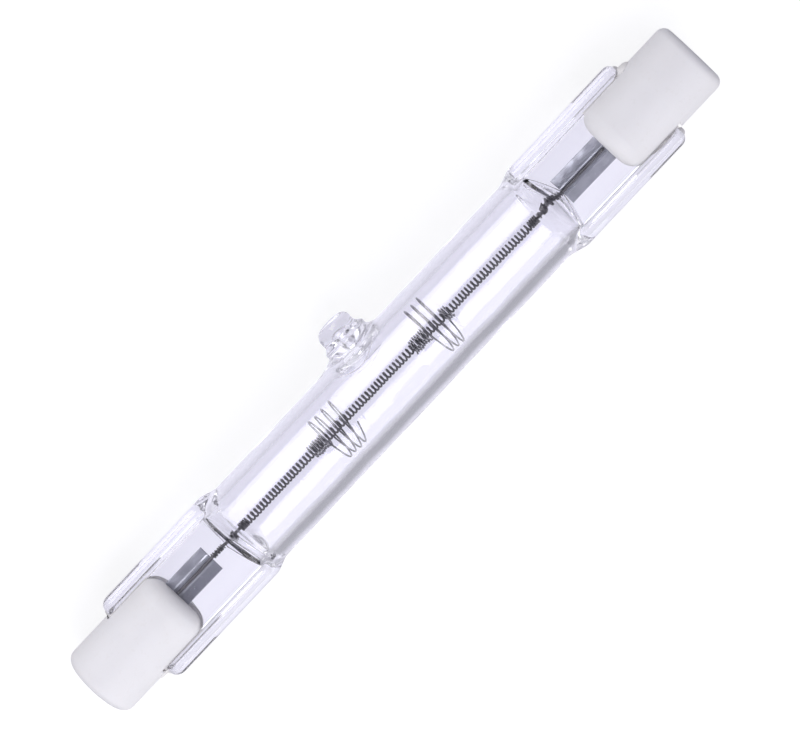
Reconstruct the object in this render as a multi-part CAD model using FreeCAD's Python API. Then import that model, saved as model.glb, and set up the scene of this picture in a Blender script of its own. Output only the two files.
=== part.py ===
"""Linear halogen bulb, 78 mm class, with a recessed contact in a ceramic cap at each end.

All sizes are in millimetres. The bulb is drawn about its own axis, +X, with the flat of the
two pinch seals in the XY plane and the sealed exhaust tip pointing to -Y. It is then rolled
about X until the tip touches the surface that the glass tube lies on, as the loose bulb lies.
The origin stays on the tube's axis, halfway between the two cap faces.
"""

import FreeCAD
import Part

import math
import os

# Overall length, across the two cap faces.
overall_length = 78.3

# Fused silica tube.
tube_diameter = 8.8
tube_wall = 1.0

# Pinch seals: a flat web between two thicker rims that stand just clear of the cap's ears.
seal_length = 13.4
rim_gap = 0.12
rim_width = 1.3
rim_height = 3.4
rim_edge_radius = 0.5
rim_end_radius = 0.9
web_thickness = 2.2
shoulder_length = 2.8
shoulder_into_seal = 1.1
cavity_end_length = 3.9
cavity_end_into_seal = 1.45
cavity_end_width = 1.5
cavity_end_height = 0.95

# The filament and foils lie in line with each other, at a small angle to the tube.
inner_line_angle = 0.36
inner_line_pivot = 25.0

# Exhaust tip: the stub of the tube that the gas went in through, melted shut.
tip_offset = 0.6
tip_diameter = 3.7
tip_height = 2.95
tip_edge_radius = 0.7
collar_diameter = 4.8
collar_rise = 0.55
collar_thickness = 0.7
flare_spread = 1.67
tip_bore_diameter = 1.4
tip_end_wall = 1.3

# Ceramic caps.
cap_diameter = 7.4
cap_length = 11.4
cap_face_radius = 0.9
cap_inner_radius = 1.6
seal_insertion = 5.6
cement_thickness = 0.15
slot_end_gap = 0.4
recess_diameter = 4.0
recess_depth = 1.7
recess_chamfer = 0.25

# Contact buttons in the caps.
contact_head_diameter = 3.4
contact_head_thickness = 0.5
contact_head_chamfer = 0.1
contact_shank_diameter = 1.6
contact_shank_end_gap = 0.3
contact_wall_over_lead = 0.9
assembly_clearance = 0.02

# Cement that is squeezed out of the slot, beyond the end of each rim.
cement_bead_length = 2.4
cement_bead_width = 1.5
cement_bead_height = 2.0
cement_bead_setback = 0.4

# Molybdenum foils and the leads welded to them.
foil_width = 2.9
foil_thickness = 0.05
foil_inner_margin = 1.35
foil_outer_margin = 2.0
inner_lead_diameter = 0.3
inner_weld_length = 5.4
outer_lead_diameter = 0.6
outer_weld_length = 1.8

# Tungsten filament: one coil, with close end turns that grip the inner leads.
coil_diameter = 0.88
coil_wire = 0.2
coil_pitch = 0.405
coil_end_gap = 1.8
close_length = 1.2
close_pitch = 0.22
coil_sides_per_turn = 6
close_sides_per_turn = 8

# Fine coil wound on each inner lead where it enters the seal.
wrap_wire = 0.15
wrap_pitch = 0.3
wrap_coil_gap = 0.9
wrap_foil_gap = 0.05
wrap_sides_per_turn = 6

# Spiral supports: close turns on the filament, wide turns near the tube wall.
# Their places are shares of the way from the middle of the filament to its end.
support_wire = 0.18
support_wall_gap = 0.5
support_grip_pitch = 0.3
support_wide_pitch = 0.76
support_ramp_turns = 0.5
support_grip_sides = 8
support_wide_sides = 12
single_support_place_share = 0.515
single_support_grip_turns = 6
single_support_wide_turns = 3.4
double_support_place_share = -0.147
double_support_grip_turns = 5
double_support_wide_turns = 2.5
double_support_far_grip_turns = 2

# Derived places along the axis.
half_length = overall_length / 2
cap_inner_face = half_length - cap_length
seal_end = cap_inner_face + seal_insertion
seal_start = seal_end - seal_length
shoulder_end = seal_start + shoulder_into_seal
shoulder_start = shoulder_end - shoulder_length
cavity_end = seal_start + cavity_end_into_seal
cavity_round_end = cavity_end - cavity_end_length
slot_bottom = seal_end + slot_end_gap
slot_half_height = web_thickness / 2 + cement_thickness
contact_face = half_length - recess_depth
contact_seat = contact_face - contact_head_thickness
foil_inner_end = cavity_end + foil_inner_margin
foil_outer_end = seal_end - foil_outer_margin
coil_end = cavity_end - coil_end_gap
wrap_start = coil_end + wrap_coil_gap
wrap_end = foil_inner_end - wrap_foil_gap - wrap_wire / 2

# Derived radii and heights.
tube_radius = tube_diameter / 2
bore_radius = tube_radius - tube_wall
cap_radius = cap_diameter / 2
ear_half_width = math.sqrt(cap_radius**2 - slot_half_height**2)
seal_width = 2 * (ear_half_width + rim_gap + rim_width)
lead_radius = inner_lead_diameter / 2
wrap_radius = lead_radius + assembly_clearance + wrap_wire / 2

# The corner arcs of a glass section take up this share of its smaller half size, at the most.
roundest_corner_share = 0.97

# A square rod whose side is this share of a round rod's diameter has the same section area.
square_side_share = math.sqrt(math.pi) / 2
coil_radius = (coil_diameter - coil_wire) / 2
coil_half_side = coil_wire * square_side_share / 2
support_half_side = support_wire * square_side_share / 2
grip_radius = (coil_radius + coil_half_side + assembly_clearance) / math.cos(math.pi / support_grip_sides)
grip_radius += support_half_side
wide_radius = bore_radius - support_wall_gap - support_wire / 2

# The filament's close turns lie on the leads, so the leads and foils are a little below its axis.
close_inner_radius = (coil_radius - coil_half_side) * math.cos(math.pi / close_sides_per_turn)
lead_drop = close_inner_radius - lead_radius - assembly_clearance / 4
foil_top = -lead_drop - lead_radius

X_AXIS = FreeCAD.Vector(1, 0, 0)
Y_AXIS = FreeCAD.Vector(0, 1, 0)
Z_AXIS = FreeCAD.Vector(0, 0, 1)
ORIGIN = FreeCAD.Vector(0, 0, 0)


class Stretch:
    """Turns of a wound wire that share a pitch and a number of flats, between two radii."""

    def __init__(self, turns, pitch, sides, first_radius, last_radius=None):
        self.turns = turns
        self.pitch = pitch
        self.sides = sides
        self.first_radius = first_radius
        self.last_radius = first_radius if last_radius is None else last_radius

    def places(self, x, angle):
        """Place along the axis, radius and angle at each bend of the wire."""
        steps = max(2, round(self.turns * self.sides))
        for i in range(steps + 1):
            share = i / steps
            radius = self.first_radius + (self.last_radius - self.first_radius) * eased(share)
            yield x + self.pitch * self.turns * share, radius, angle + 2 * math.pi * self.turns * share


def eased(share):
    """Share of a change that starts and ends gently."""
    return share * share * (3 - 2 * share)


def early(share):
    """Share of a gentle change that is over a quarter before the end."""
    return eased(min(1, share / 0.75))


def late(share):
    """Share of a change that comes nearly all at the end."""
    return share**4


def rest_roll():
    """Angle about X, in degrees, that brings the tip's rounded edge down to the level of the tube."""
    reach = tube_radius + tip_height - tip_edge_radius
    aside = tip_diameter / 2 - tip_edge_radius
    lean = math.asin((tube_radius - tip_edge_radius) / math.hypot(reach, aside))
    return math.degrees(lean - math.atan2(aside, reach))


def inner_line(shape):
    """A piece of the filament's line, turned a little in the plane of the seals."""
    return shape.rotated(FreeCAD.Vector(-inner_line_pivot, 0, 0), Z_AXIS, -inner_line_angle)


def other_end(shape):
    """The same piece at the -X end, turned half a turn about Z."""
    return shape.rotated(ORIGIN, Z_AXIS, 180)


def both_ends(shape):
    """A piece and its turned copy at the -X end."""
    return [shape, other_end(shape)]


def rod(radius, start, end, drop=0.0):
    """Round rod along X between two places, lowered from the axis by a drop."""
    return Part.makeCylinder(radius, end - start, FreeCAD.Vector(start, 0, -drop), X_AXIS)


def block(x_range, y_range, z_range):
    """Box between two places on each axis."""
    low, high = (FreeCAD.Vector(*corner) for corner in zip(x_range, y_range, z_range))
    size = high - low
    return Part.makeBox(size.x, size.y, size.z, low)


def arc_through(start, middle, end):
    """Edge along the circle through three points."""
    return Part.Arc(start, middle, end).toShape()


def section(x, half_width, half_height):
    """Outline across the axis at x, as wide and high as given: flat sides joined by four corner arcs.

    A section as high as it is wide is nearly round. The eight edges always come in the same order,
    so that a loft joins each to its own kind, and no flat side is ever without a length.
    """
    corner = min(half_width, half_height) * roundest_corner_share
    edges = []
    for quarter, (side_y, side_z) in enumerate([(1, 1), (-1, 1), (-1, -1), (1, -1)]):
        centre = FreeCAD.Vector(x, side_y * (half_width - corner), side_z * (half_height - corner))
        spots = [
            centre + FreeCAD.Vector(0, math.cos(a), math.sin(a)) * corner
            for a in (math.pi / 2 * (quarter + share) for share in (0, 0.5, 1))
        ]
        if edges:
            edges.append(Part.makeLine(edges[-1].Vertexes[-1].Point, spots[0]))
        edges.append(arc_through(*spots))
    edges.append(Part.makeLine(edges[-1].Vertexes[-1].Point, edges[0].Vertexes[0].Point))
    return Part.Wire(edges)


def flattened_end(start, end, from_radius, to_width, to_height, narrowing):
    """Loft from a round section to a flat one. The narrowing gives its width's share at each place."""
    sections = []
    for share in (0, 0.25, 0.5, 0.75, 1):
        half_height = from_radius + (to_height / 2 - from_radius) * eased(share)
        half_width = from_radius + (to_width / 2 - from_radius) * narrowing(share)
        sections.append(section(start + (end - start) * share, half_width, half_height))
    return Part.makeLoft(sections, True, False)


def outer_glass():
    """Outside of the tube, its shoulders, the two seals and the exhaust tip, solid right through."""
    tube = rod(tube_radius, -shoulder_start, shoulder_start)
    shoulder = flattened_end(shoulder_start, shoulder_end, tube_radius, seal_width, web_thickness, early)
    web = block(
        (shoulder_end, seal_end),
        (-seal_width / 2 + rim_edge_radius, seal_width / 2 - rim_edge_radius),
        (-web_thickness / 2, web_thickness / 2),
    )
    rims = [rim(), rim().mirror(ORIGIN, Y_AXIS)]
    ends = [copy for piece in [shoulder, web] + rims for copy in both_ends(piece)]
    return tube.fuse(ends + [exhaust_tip()]).removeSplitter()


def rim():
    """Thick edge that the pressing jaws leave along a seal, rounded off at the cap."""
    outer = seal_width / 2
    bar = block((seal_start, seal_end), (outer - rim_width, outer), (-rim_height / 2, rim_height / 2))
    corner = [e for e in bar.Edges if abs(e.CenterOfMass.x - seal_end) < 1e-6 and abs(e.CenterOfMass.z) < 1e-6]
    outside = [e for e in corner if e.CenterOfMass.y > outer - rim_width / 2]
    bar = bar.makeFillet(rim_end_radius, outside)
    long_edges = [e for e in bar.Edges if abs(e.tangentAt(e.FirstParameter).z) < 0.5 and e.CenterOfMass.x > seal_start]
    return bar.makeFillet(rim_edge_radius, long_edges)


def exhaust_tip():
    """Stub of the exhaust tube: a flare on the glass, a collar, a short stub and a rounded end."""
    top = tube_radius + tip_height
    stub, collar = tip_diameter / 2, collar_diameter / 2
    foot = stub + flare_spread
    foot_height = math.sqrt(tube_radius**2 - foot**2)
    collar_low = tube_radius + collar_rise
    collar_high = collar_low + collar_thickness
    flare_height = collar_low - foot_height
    flare_radius = (flare_spread**2 + flare_height**2) / (2 * flare_spread)
    half_sweep = math.atan2(flare_height, flare_radius - flare_spread) / 2
    shoulder_height = top - tip_edge_radius
    edge_inset = tip_edge_radius * (1 - math.cos(math.pi / 4))

    def spot(radius, height):
        return FreeCAD.Vector(radius, -height, 0)

    corners = [spot(0, 0), spot(foot, 0), spot(foot, foot_height)]
    flare_middle = spot(
        stub + flare_radius * (1 - math.cos(half_sweep)), collar_low - flare_radius * math.sin(half_sweep)
    )
    outline = [Part.makeLine(corners[0], corners[1]), Part.makeLine(corners[1], corners[2])]
    outline.append(arc_through(corners[2], flare_middle, spot(stub, collar_low)))
    outline.append(
        arc_through(spot(stub, collar_low), spot(collar, (collar_low + collar_high) / 2), spot(stub, collar_high))
    )
    outline.append(Part.makeLine(spot(stub, collar_high), spot(stub, shoulder_height)))
    outline.append(
        arc_through(
            spot(stub, shoulder_height), spot(stub - edge_inset, top - edge_inset), spot(stub - tip_edge_radius, top)
        )
    )
    outline.append(Part.makeLine(spot(stub - tip_edge_radius, top), spot(0, top)))
    outline.append(Part.makeLine(spot(0, top), corners[0]))
    return Part.Face(Part.Wire(outline)).revolve(ORIGIN, Y_AXIS, 360).translated(X_AXIS * tip_offset)


def gas_space():
    """Everything that the glass leaves open: the bore, its flattened ends and the hole in the tip."""
    bore = rod(bore_radius, -cavity_round_end, cavity_round_end)
    flattened = flattened_end(cavity_round_end, cavity_end, bore_radius, cavity_end_width, cavity_end_height, late)
    hole_radius = tip_bore_diameter / 2
    hole_end = tube_radius + tip_height - tip_end_wall
    hole = Part.makeCylinder(hole_radius, hole_end, FreeCAD.Vector(tip_offset, 0, 0), -Y_AXIS)
    point = Part.makeCone(
        hole_radius, hole_radius / 4, hole_radius, FreeCAD.Vector(tip_offset, -hole_end, 0), -Y_AXIS
    )
    return bore.fuse(both_ends(flattened) + [hole, point]).removeSplitter()


def foil():
    """Thin molybdenum strip that carries the current through a seal."""
    half = foil_width / 2
    return block((foil_inner_end, foil_outer_end), (-half, half), (foil_top - foil_thickness, foil_top))


def inner_lead():
    """Straight tungsten rod from inside the filament's close turns to the top of the foil."""
    return rod(lead_radius, coil_end - close_length, foil_inner_end + inner_weld_length, lead_drop)


def inner_room():
    """Hole in the glass around an inner lead, its fine coil and the foil, open between lead and foil."""
    lead = inner_lead()
    weld = block(
        (foil_inner_end, foil_inner_end + inner_weld_length),
        (-lead_radius / 2, lead_radius / 2),
        (foil_top - foil_thickness / 2, -lead_drop),
    )
    wrap = rod(wrap_radius + wrap_wire / 2, wrap_start - wrap_wire, foil_inner_end, lead_drop)
    return foil().fuse([lead, weld, wrap])


def lead_wrap():
    """Fine coil on an inner lead, from the gas space to the foil."""
    turns = (wrap_end - wrap_start) / wrap_pitch
    coil = wound_wire(wrap_start, [Stretch(turns, wrap_pitch, wrap_sides_per_turn, wrap_radius)], wrap_wire)
    return coil.translated(-Z_AXIS * lead_drop)


def outer_lead():
    """Molybdenum rod from the foil to the contact, ground flat where it lies on the foil."""
    start = foil_outer_end - outer_weld_length
    lead = rod(outer_lead_diameter / 2, start, contact_face - contact_wall_over_lead)
    reach = outer_lead_diameter
    flat = block((start - reach, foil_outer_end + foil_thickness), (-reach, reach), (-reach, foil_top))
    return lead.cut(flat)


def wound_wire(start, stretches, diameter):
    """Flat-sided solid of a wire wound about X, square across, with the section area of the round wire."""
    half = diameter * square_side_share / 2
    places = []
    x, angle = start, 0.0
    for stretch in stretches:
        places += list(stretch.places(x, angle))[1 if places else 0:]
        x, angle = places[-1][0], places[-1][2]
    points = [
        FreeCAD.Vector(x + along, (r + outward) * math.cos(a), (r + outward) * math.sin(a))
        for x, r, a in places
        for along, outward in ((-half, -half), (half, -half), (half, half), (-half, half))
    ]
    facets = [(0, 1, 2), (0, 2, 3)]
    for ring in range(0, 4 * (len(places) - 1), 4):
        for k in range(4):
            near, beside = ring + k, ring + (k + 1) % 4
            facets += [(near, beside + 4, beside), (near, near + 4, beside + 4)]
    last = 4 * (len(places) - 1)
    facets += [(last, last + 2, last + 1), (last, last + 3, last + 2)]
    shell = Part.Shape()
    shell.makeShapeFromMesh((points, facets), 1e-6)
    solid = Part.Solid(shell.Shells[0])
    if solid.Volume < 0:
        solid.reverse()
    return solid


def filament():
    """Coil of tungsten wire between the seals, close wound where it grips the inner leads."""
    close = Stretch(close_length / close_pitch, close_pitch, close_sides_per_turn, coil_radius)
    open_turns = 2 * (coil_end - close_length) / coil_pitch
    spread = Stretch(open_turns, coil_pitch, coil_sides_per_turn, coil_radius)
    return wound_wire(-coil_end, [close, spread, close], coil_wire)


def grip(turns):
    """Close turns of a support on the filament."""
    return Stretch(turns, support_grip_pitch, support_grip_sides, grip_radius)


def widening(first_radius, last_radius):
    """Turn of a support that leaves or meets the filament."""
    return Stretch(support_ramp_turns, support_wide_pitch, support_wide_sides, first_radius, last_radius)


def wide(turns):
    """Wide turns of a support, near the wall of the tube."""
    return Stretch(turns, support_wide_pitch, support_wide_sides, wide_radius)


def single_support():
    """Support with one gripping end and a free wide spiral, wound towards -X."""
    stretches = [grip(single_support_grip_turns), widening(grip_radius, wide_radius), wide(single_support_wide_turns)]
    return other_end(wound_wire(-coil_end * single_support_place_share, stretches, support_wire))


def double_support():
    """Support whose wide spiral has a gripping coil at each end, wound towards -X."""
    stretches = [
        grip(double_support_grip_turns),
        widening(grip_radius, wide_radius),
        wide(double_support_wide_turns),
        widening(wide_radius, grip_radius),
        grip(double_support_far_grip_turns),
    ]
    return other_end(wound_wire(-coil_end * double_support_place_share, stretches, support_wire))


def quartz_envelope():
    """The glass in one piece, with room for the foils and leads that it is pressed around."""
    rooms = [inner_line(copy) for copy in both_ends(inner_room())] + both_ends(outer_lead())
    glass = outer_glass().cut(gas_space())
    for room in rooms:
        glass = glass.cut(room)
    return glass


def turned(outline):
    """Solid of revolution about X of a closed outline of straight and round edges."""
    return Part.Face(Part.Wire(outline)).revolve(ORIGIN, X_AXIS, 360)


def outline_through(corners):
    """Closed outline of straight edges through corners given as places along and radii."""
    spots = [FreeCAD.Vector(x, radius, 0) for x, radius in corners]
    return [Part.makeLine(a, b) for a, b in zip(spots, spots[1:] + spots[:1])]


def cap_blank():
    """Round body of a cap with both its edges rounded."""
    body = rod(cap_radius, cap_inner_face, half_length)
    inner_edge = [e for e in body.Edges if e.isClosed() and abs(e.CenterOfMass.x - cap_inner_face) < 1e-6]
    body = body.makeFillet(cap_inner_radius, inner_edge)
    face_edge = [e for e in body.Edges if e.isClosed() and abs(e.CenterOfMass.x - half_length) < 1e-6]
    return body.makeFillet(cap_face_radius, face_edge)


def ceramic_cap():
    """Round ceramic cap, slotted for the seal, with a contact recess and a hole for the shank."""
    beyond = half_length + recess_chamfer
    recess = recess_diameter / 2
    seat = contact_head_diameter / 2 + assembly_clearance
    hole = contact_shank_diameter / 2 + assembly_clearance
    hollow = turned(outline_through([
        (beyond, 0),
        (beyond, recess + 2 * recess_chamfer),
        (half_length - recess_chamfer, recess),
        (contact_face, recess),
        (contact_face, seat),
        (contact_seat, seat),
        (contact_seat, hole),
        (seal_end, hole),
        (seal_end, 0),
    ]))
    slot = block(
        (cap_inner_face - cap_radius, slot_bottom), (-cap_radius, cap_radius), (-slot_half_height, slot_half_height)
    )
    return cap_blank().cut(slot).cut(hollow)


def contact():
    """Button that the holder's pin presses on, with a hollow shank for the lead."""
    head, shank = contact_head_diameter / 2, contact_shank_diameter / 2
    bore = outer_lead_diameter / 2 + assembly_clearance
    bore_end = contact_face - contact_wall_over_lead + assembly_clearance
    shank_end = slot_bottom + contact_shank_end_gap
    return turned(outline_through([
        (contact_face, 0),
        (contact_face, head - contact_head_chamfer),
        (contact_face - contact_head_chamfer, head),
        (contact_seat, head),
        (contact_seat, shank),
        (shank_end, shank),
        (shank_end, bore),
        (bore_end, bore),
        (bore_end, 0),
    ]))


def cement(glass_outside, cap):
    """Cement that fills a cap's slot round the seal and stands out beyond the end of each rim."""
    filling = block(
        (cap_inner_face, slot_bottom), (-cap_radius, cap_radius), (-slot_half_height, slot_half_height)
    ).common(rod(cap_radius, cap_inner_face + cap_inner_radius / 2, slot_bottom))
    bead_size = FreeCAD.Matrix()
    bead_size.scale(cement_bead_length / 2, cement_bead_width / 2, cement_bead_height / 2)
    bead = Part.makeSphere(1).transformGeometry(bead_size)
    centre = seal_end - cement_bead_setback
    beads = [bead.translated(FreeCAD.Vector(centre, side * cap_radius, 0)) for side in (1, -1)]
    lead_room = rod(outer_lead_diameter / 2, cap_inner_face, half_length)
    set_cement = filling.fuse(beads).cut(cap).cut(glass_outside).cut(lead_room)
    return max(set_cement.Solids, key=lambda solid: solid.Volume)


def main():
    """Builds every piece and writes one STEP file for each."""
    cap = ceramic_cap()
    nodes = {
        "quartz_envelope": quartz_envelope(),
        "filament_coil": inner_line(filament()),
        "single_spiral_support": inner_line(single_support()),
        "double_spiral_support": inner_line(double_support()),
    }
    line_pieces = {"molybdenum_foil": foil(), "inner_lead": inner_lead(), "lead_wrap": lead_wrap()}
    axial_pieces = {
        "outer_lead": outer_lead(),
        "contact_button": contact(),
        "ceramic_cap": cap,
        "cap_cement": cement(outer_glass(), cap),
    }
    for name, shape in line_pieces.items():
        nodes[name + "_right"], nodes[name + "_left"] = map(inner_line, both_ends(shape))
    for name, shape in axial_pieces.items():
        nodes[name + "_right"], nodes[name + "_left"] = both_ends(shape)
    os.makedirs("parts", exist_ok=True)
    roll = rest_roll()
    for name, shape in nodes.items():
        placed = shape.rotated(ORIGIN, X_AXIS, roll)
        placed.exportStep(f"parts/{name}.step")
        print(f"{name}: {placed.Volume:.3f} mm3, {len(placed.Solids)} solid, {len(placed.Faces)} faces")
    print(f"roll about X at rest: {roll:.3f} degrees")


main()
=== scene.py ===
"""Studio scene of a linear halogen bulb lying at rest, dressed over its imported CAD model.

Sizes in the classes are millimetres in the lamp's own frame: X along the tube, the seals flat in
XY and the exhaust tip towards -Y. Bench turns that frame about X, as the loose bulb lies, and
gives the metres of the row frame.
"""

import logging
import math
from dataclasses import dataclass
from enum import Enum
from functools import cache

import bmesh
import bpy
import numpy as np
from mathutils import Matrix, Vector


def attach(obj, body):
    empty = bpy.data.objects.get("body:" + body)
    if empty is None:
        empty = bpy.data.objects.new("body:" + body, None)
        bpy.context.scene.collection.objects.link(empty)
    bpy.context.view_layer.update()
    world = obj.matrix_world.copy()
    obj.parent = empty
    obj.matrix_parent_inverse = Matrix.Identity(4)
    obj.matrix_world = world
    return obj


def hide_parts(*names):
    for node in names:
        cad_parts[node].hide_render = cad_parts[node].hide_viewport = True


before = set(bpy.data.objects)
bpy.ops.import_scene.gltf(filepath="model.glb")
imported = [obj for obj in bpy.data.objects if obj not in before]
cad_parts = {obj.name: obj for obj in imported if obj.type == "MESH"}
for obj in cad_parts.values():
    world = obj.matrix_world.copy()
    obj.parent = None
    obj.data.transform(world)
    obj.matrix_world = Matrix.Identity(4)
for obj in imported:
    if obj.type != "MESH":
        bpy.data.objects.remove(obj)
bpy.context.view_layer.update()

log = logging.getLogger("halogen_bulb")

ROOT = "root"
PHOTO_WIDTH = 800
PHOTO_HEIGHT = 742
MIRROR_X = np.array([-1, 1, 1])


class End(Enum):
    """The two ends of the lamp, as the sign of their side on X."""

    RIGHT = 1
    LEFT = -1

    @property
    def tag(self) -> str:
        """Name of the end as the CAD nodes give it."""
        return self.name.lower()

    def turn(self, points: np.ndarray) -> np.ndarray:
        """Points drawn at +X, moved to this end by half a turn about Z."""
        return points * [self.value, self.value, 1]


@dataclass(frozen=True)
class Bench:
    """How the loose bulb lies: rolled about X until its tip comes down to the level of the tube."""

    tube_radius: float = 4.4
    tip_height: float = 2.95
    tip_diameter: float = 3.7
    tip_edge_radius: float = 0.7

    @property
    def roll(self) -> float:
        """Angle about X in radians, from the tip's rounded edge and the tube touching one plane."""
        reach = self.tube_radius + self.tip_height - self.tip_edge_radius
        aside = self.tip_diameter / 2 - self.tip_edge_radius
        slope = math.asin((self.tube_radius - self.tip_edge_radius) / math.hypot(reach, aside))
        return slope - math.atan2(aside, reach)

    def turn(self, directions: np.ndarray) -> np.ndarray:
        """Rolls directions or points from the lamp's frame.

        Args:
            directions: Array of shape (..., 3).

        Returns:
            The same array turned about X.
        """
        c, s = math.cos(self.roll), math.sin(self.roll)
        matrix = np.array([[1, 0, 0], [0, c, -s], [0, s, c]])
        return np.asarray(directions, float) @ matrix.T

    def place(self, points: np.ndarray) -> np.ndarray:
        """Points of the lamp's frame in millimetres, as points of the row frame in metres."""
        return self.turn(points) * 0.001

    def unroll(self, places: np.ndarray) -> np.ndarray:
        """Places of the row frame in metres, as points of the lamp's frame in millimetres."""
        return np.asarray(places, float) @ self.turn(np.eye(3)).T * 1000


BENCH = Bench()


# Shapes shared by the sub-assemblies.


def eased(share: np.ndarray) -> np.ndarray:
    """Smooth step of a share cut to 0..1: 3 share squared less 2 share cubed."""
    share = np.clip(share, 0.0, 1.0)
    return share * share * (3 - 2 * share)


def full_turn(count: int) -> np.ndarray:
    """Angles at equal steps round a circle, from 0 on."""
    return 2 * math.pi * np.arange(count) / count


def grid(x: np.ndarray | float, y: np.ndarray | float, z: np.ndarray | float) -> np.ndarray:
    """Points of three coordinates, each a number, a row, a column or a whole grid."""
    return np.stack(np.broadcast_arrays(x, y, z), -1)


def sheet_faces(rows: int, columns: int, around: bool = True, first: int = 0) -> np.ndarray:
    """Quads of a grid of vertices numbered row by row.

    Args:
        rows: Number of rows of vertices.
        columns: Number of vertices in a row.
        around: Whether the last column joins the first.
        first: Number of the grid's first vertex.

    Returns:
        Array of shape (faces, 4).
    """
    column = np.arange(columns if around else columns - 1)
    beside = (column + 1) % columns
    row = np.arange(rows - 1)[:, None] * columns
    corners = [row + column, row + beside, row + columns + beside, row + columns + column]
    return np.stack([np.broadcast_to(c, (rows - 1, len(column))) for c in corners], -1).reshape(-1, 4) + first


def new_object(name: str, data: bpy.types.ID) -> bpy.types.Object:
    """Object of a name with its data, linked into the scene."""
    made = bpy.data.objects.new(name, data)
    bpy.context.scene.collection.objects.link(made)
    return made


class MeshParts:
    """Vertices and faces gathered from several surfaces of one piece."""

    def __init__(self) -> None:
        """Starts with nothing gathered."""
        self.points: list[np.ndarray] = []
        self.faces: list[np.ndarray] = []
        self.count = 0

    def add(self, points: np.ndarray, *faces: np.ndarray, flip: bool = False) -> int:
        """Adds one surface.

        Args:
            points: Array of shape (..., 3), in millimetres of the lamp's frame.
            faces: Arrays of vertex numbers that count from this surface's first vertex.
            flip: Whether the faces are turned to point the other way.

        Returns:
            Number of the surface's first vertex in the piece.
        """
        first = self.count
        flat = np.asarray(points, float).reshape(-1, 3)
        self.points.append(flat)
        self.count += len(flat)
        for block in faces:
            self.join(block + first, flip)
        return first

    def join(self, faces: np.ndarray, flip: bool = False) -> None:
        """Adds faces between vertices that are there already, by their numbers in the piece."""
        self.faces.append(faces[:, ::-1] if flip else faces)

    def close(self, ring: np.ndarray, pole: np.ndarray | list[float], flip: bool = False) -> None:
        """Adds triangles from a closed ring to a new vertex.

        Args:
            ring: Numbers of the ring's vertices in the piece.
            pole: Place of the new vertex.
            flip: Whether the faces are turned to point the other way.
        """
        centre = self.add(pole)
        self.join(np.stack([ring, np.roll(ring, -1), np.full(len(ring), centre)], -1), flip)

    def make(self, name: str, material: bpy.types.Material, merge: float = 0.0, crease: float = 0.0
             ) -> bpy.types.Object:
        """Makes the piece with smooth shading, closed where doubles meet.

        Args:
            name: Name of the object.
            material: Its finish.
            merge: Distance in millimetres under which vertices are joined.
            crease: Angle in degrees above which an edge is shaded sharp, or 0 for none.

        Returns:
            The new object, at the origin.
        """
        mesh = bpy.data.meshes.new(name)
        faces = [face for block in self.faces for face in block.tolist()]
        mesh.from_pydata(BENCH.place(np.concatenate(self.points)), [], faces)
        if merge:
            shape = bmesh.new()
            shape.from_mesh(mesh)
            bmesh.ops.remove_doubles(shape, verts=shape.verts, dist=merge * 0.001)
            bmesh.ops.dissolve_degenerate(shape, edges=shape.edges, dist=1e-8)
            shape.to_mesh(mesh)
            shape.free()
        mesh.shade_smooth()
        if crease:
            mesh.set_sharp_from_angle(angle=math.radians(crease))
        mesh.materials.append(material)
        return new_object(name, mesh)


def resampled(outline: np.ndarray, count: int, closed: bool = True) -> np.ndarray:
    """Points at equal steps of length along a line, from its first point on.

    Args:
        outline: Points of shape (n, d).
        count: Number of points wanted.
        closed: Whether the line returns to its first point.

    Returns:
        Array of shape (count, d).
    """
    line = np.vstack([outline, outline[:1]]) if closed else outline
    length = np.concatenate([[0], np.cumsum(np.linalg.norm(np.diff(line, axis=0), axis=1))])
    wanted = np.linspace(0, length[-1], count, endpoint=not closed)
    return np.stack([np.interp(wanted, length, line[:, k]) for k in range(line.shape[1])], -1)


def rounded(corners: np.ndarray, radii: np.ndarray, steps: int = 12) -> np.ndarray:
    """Closed outline through corners, each replaced by the arc that touches both its sides.

    Args:
        corners: Corner points of shape (n, 2), in order.
        radii: Radius at each corner.
        steps: Points on each arc.

    Returns:
        Array of shape (n * steps, 2).
    """
    before = corners - np.roll(corners, 1, axis=0)
    after = np.roll(corners, -1, axis=0) - corners
    before = before / np.linalg.norm(before, axis=1)[:, None]
    after = after / np.linalg.norm(after, axis=1)[:, None]
    turning = np.arctan2(before[:, 0] * after[:, 1] - before[:, 1] * after[:, 0], (before * after).sum(1))
    side = np.sign(turning)[:, None]
    reach = (radii * np.abs(np.tan(turning / 2)))[:, None]
    centres = corners - before * reach + side * radii[:, None] * np.stack([-before[:, 1], before[:, 0]], -1)
    start = np.arctan2(-side[:, 0] * before[:, 0], side[:, 0] * before[:, 1])
    angle = start[:, None] + turning[:, None] * np.linspace(0, 1, steps)
    spokes = np.stack([np.cos(angle), np.sin(angle)], -1) * radii[:, None, None]
    return (centres[:, None] + spokes).reshape(-1, 2)


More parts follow.
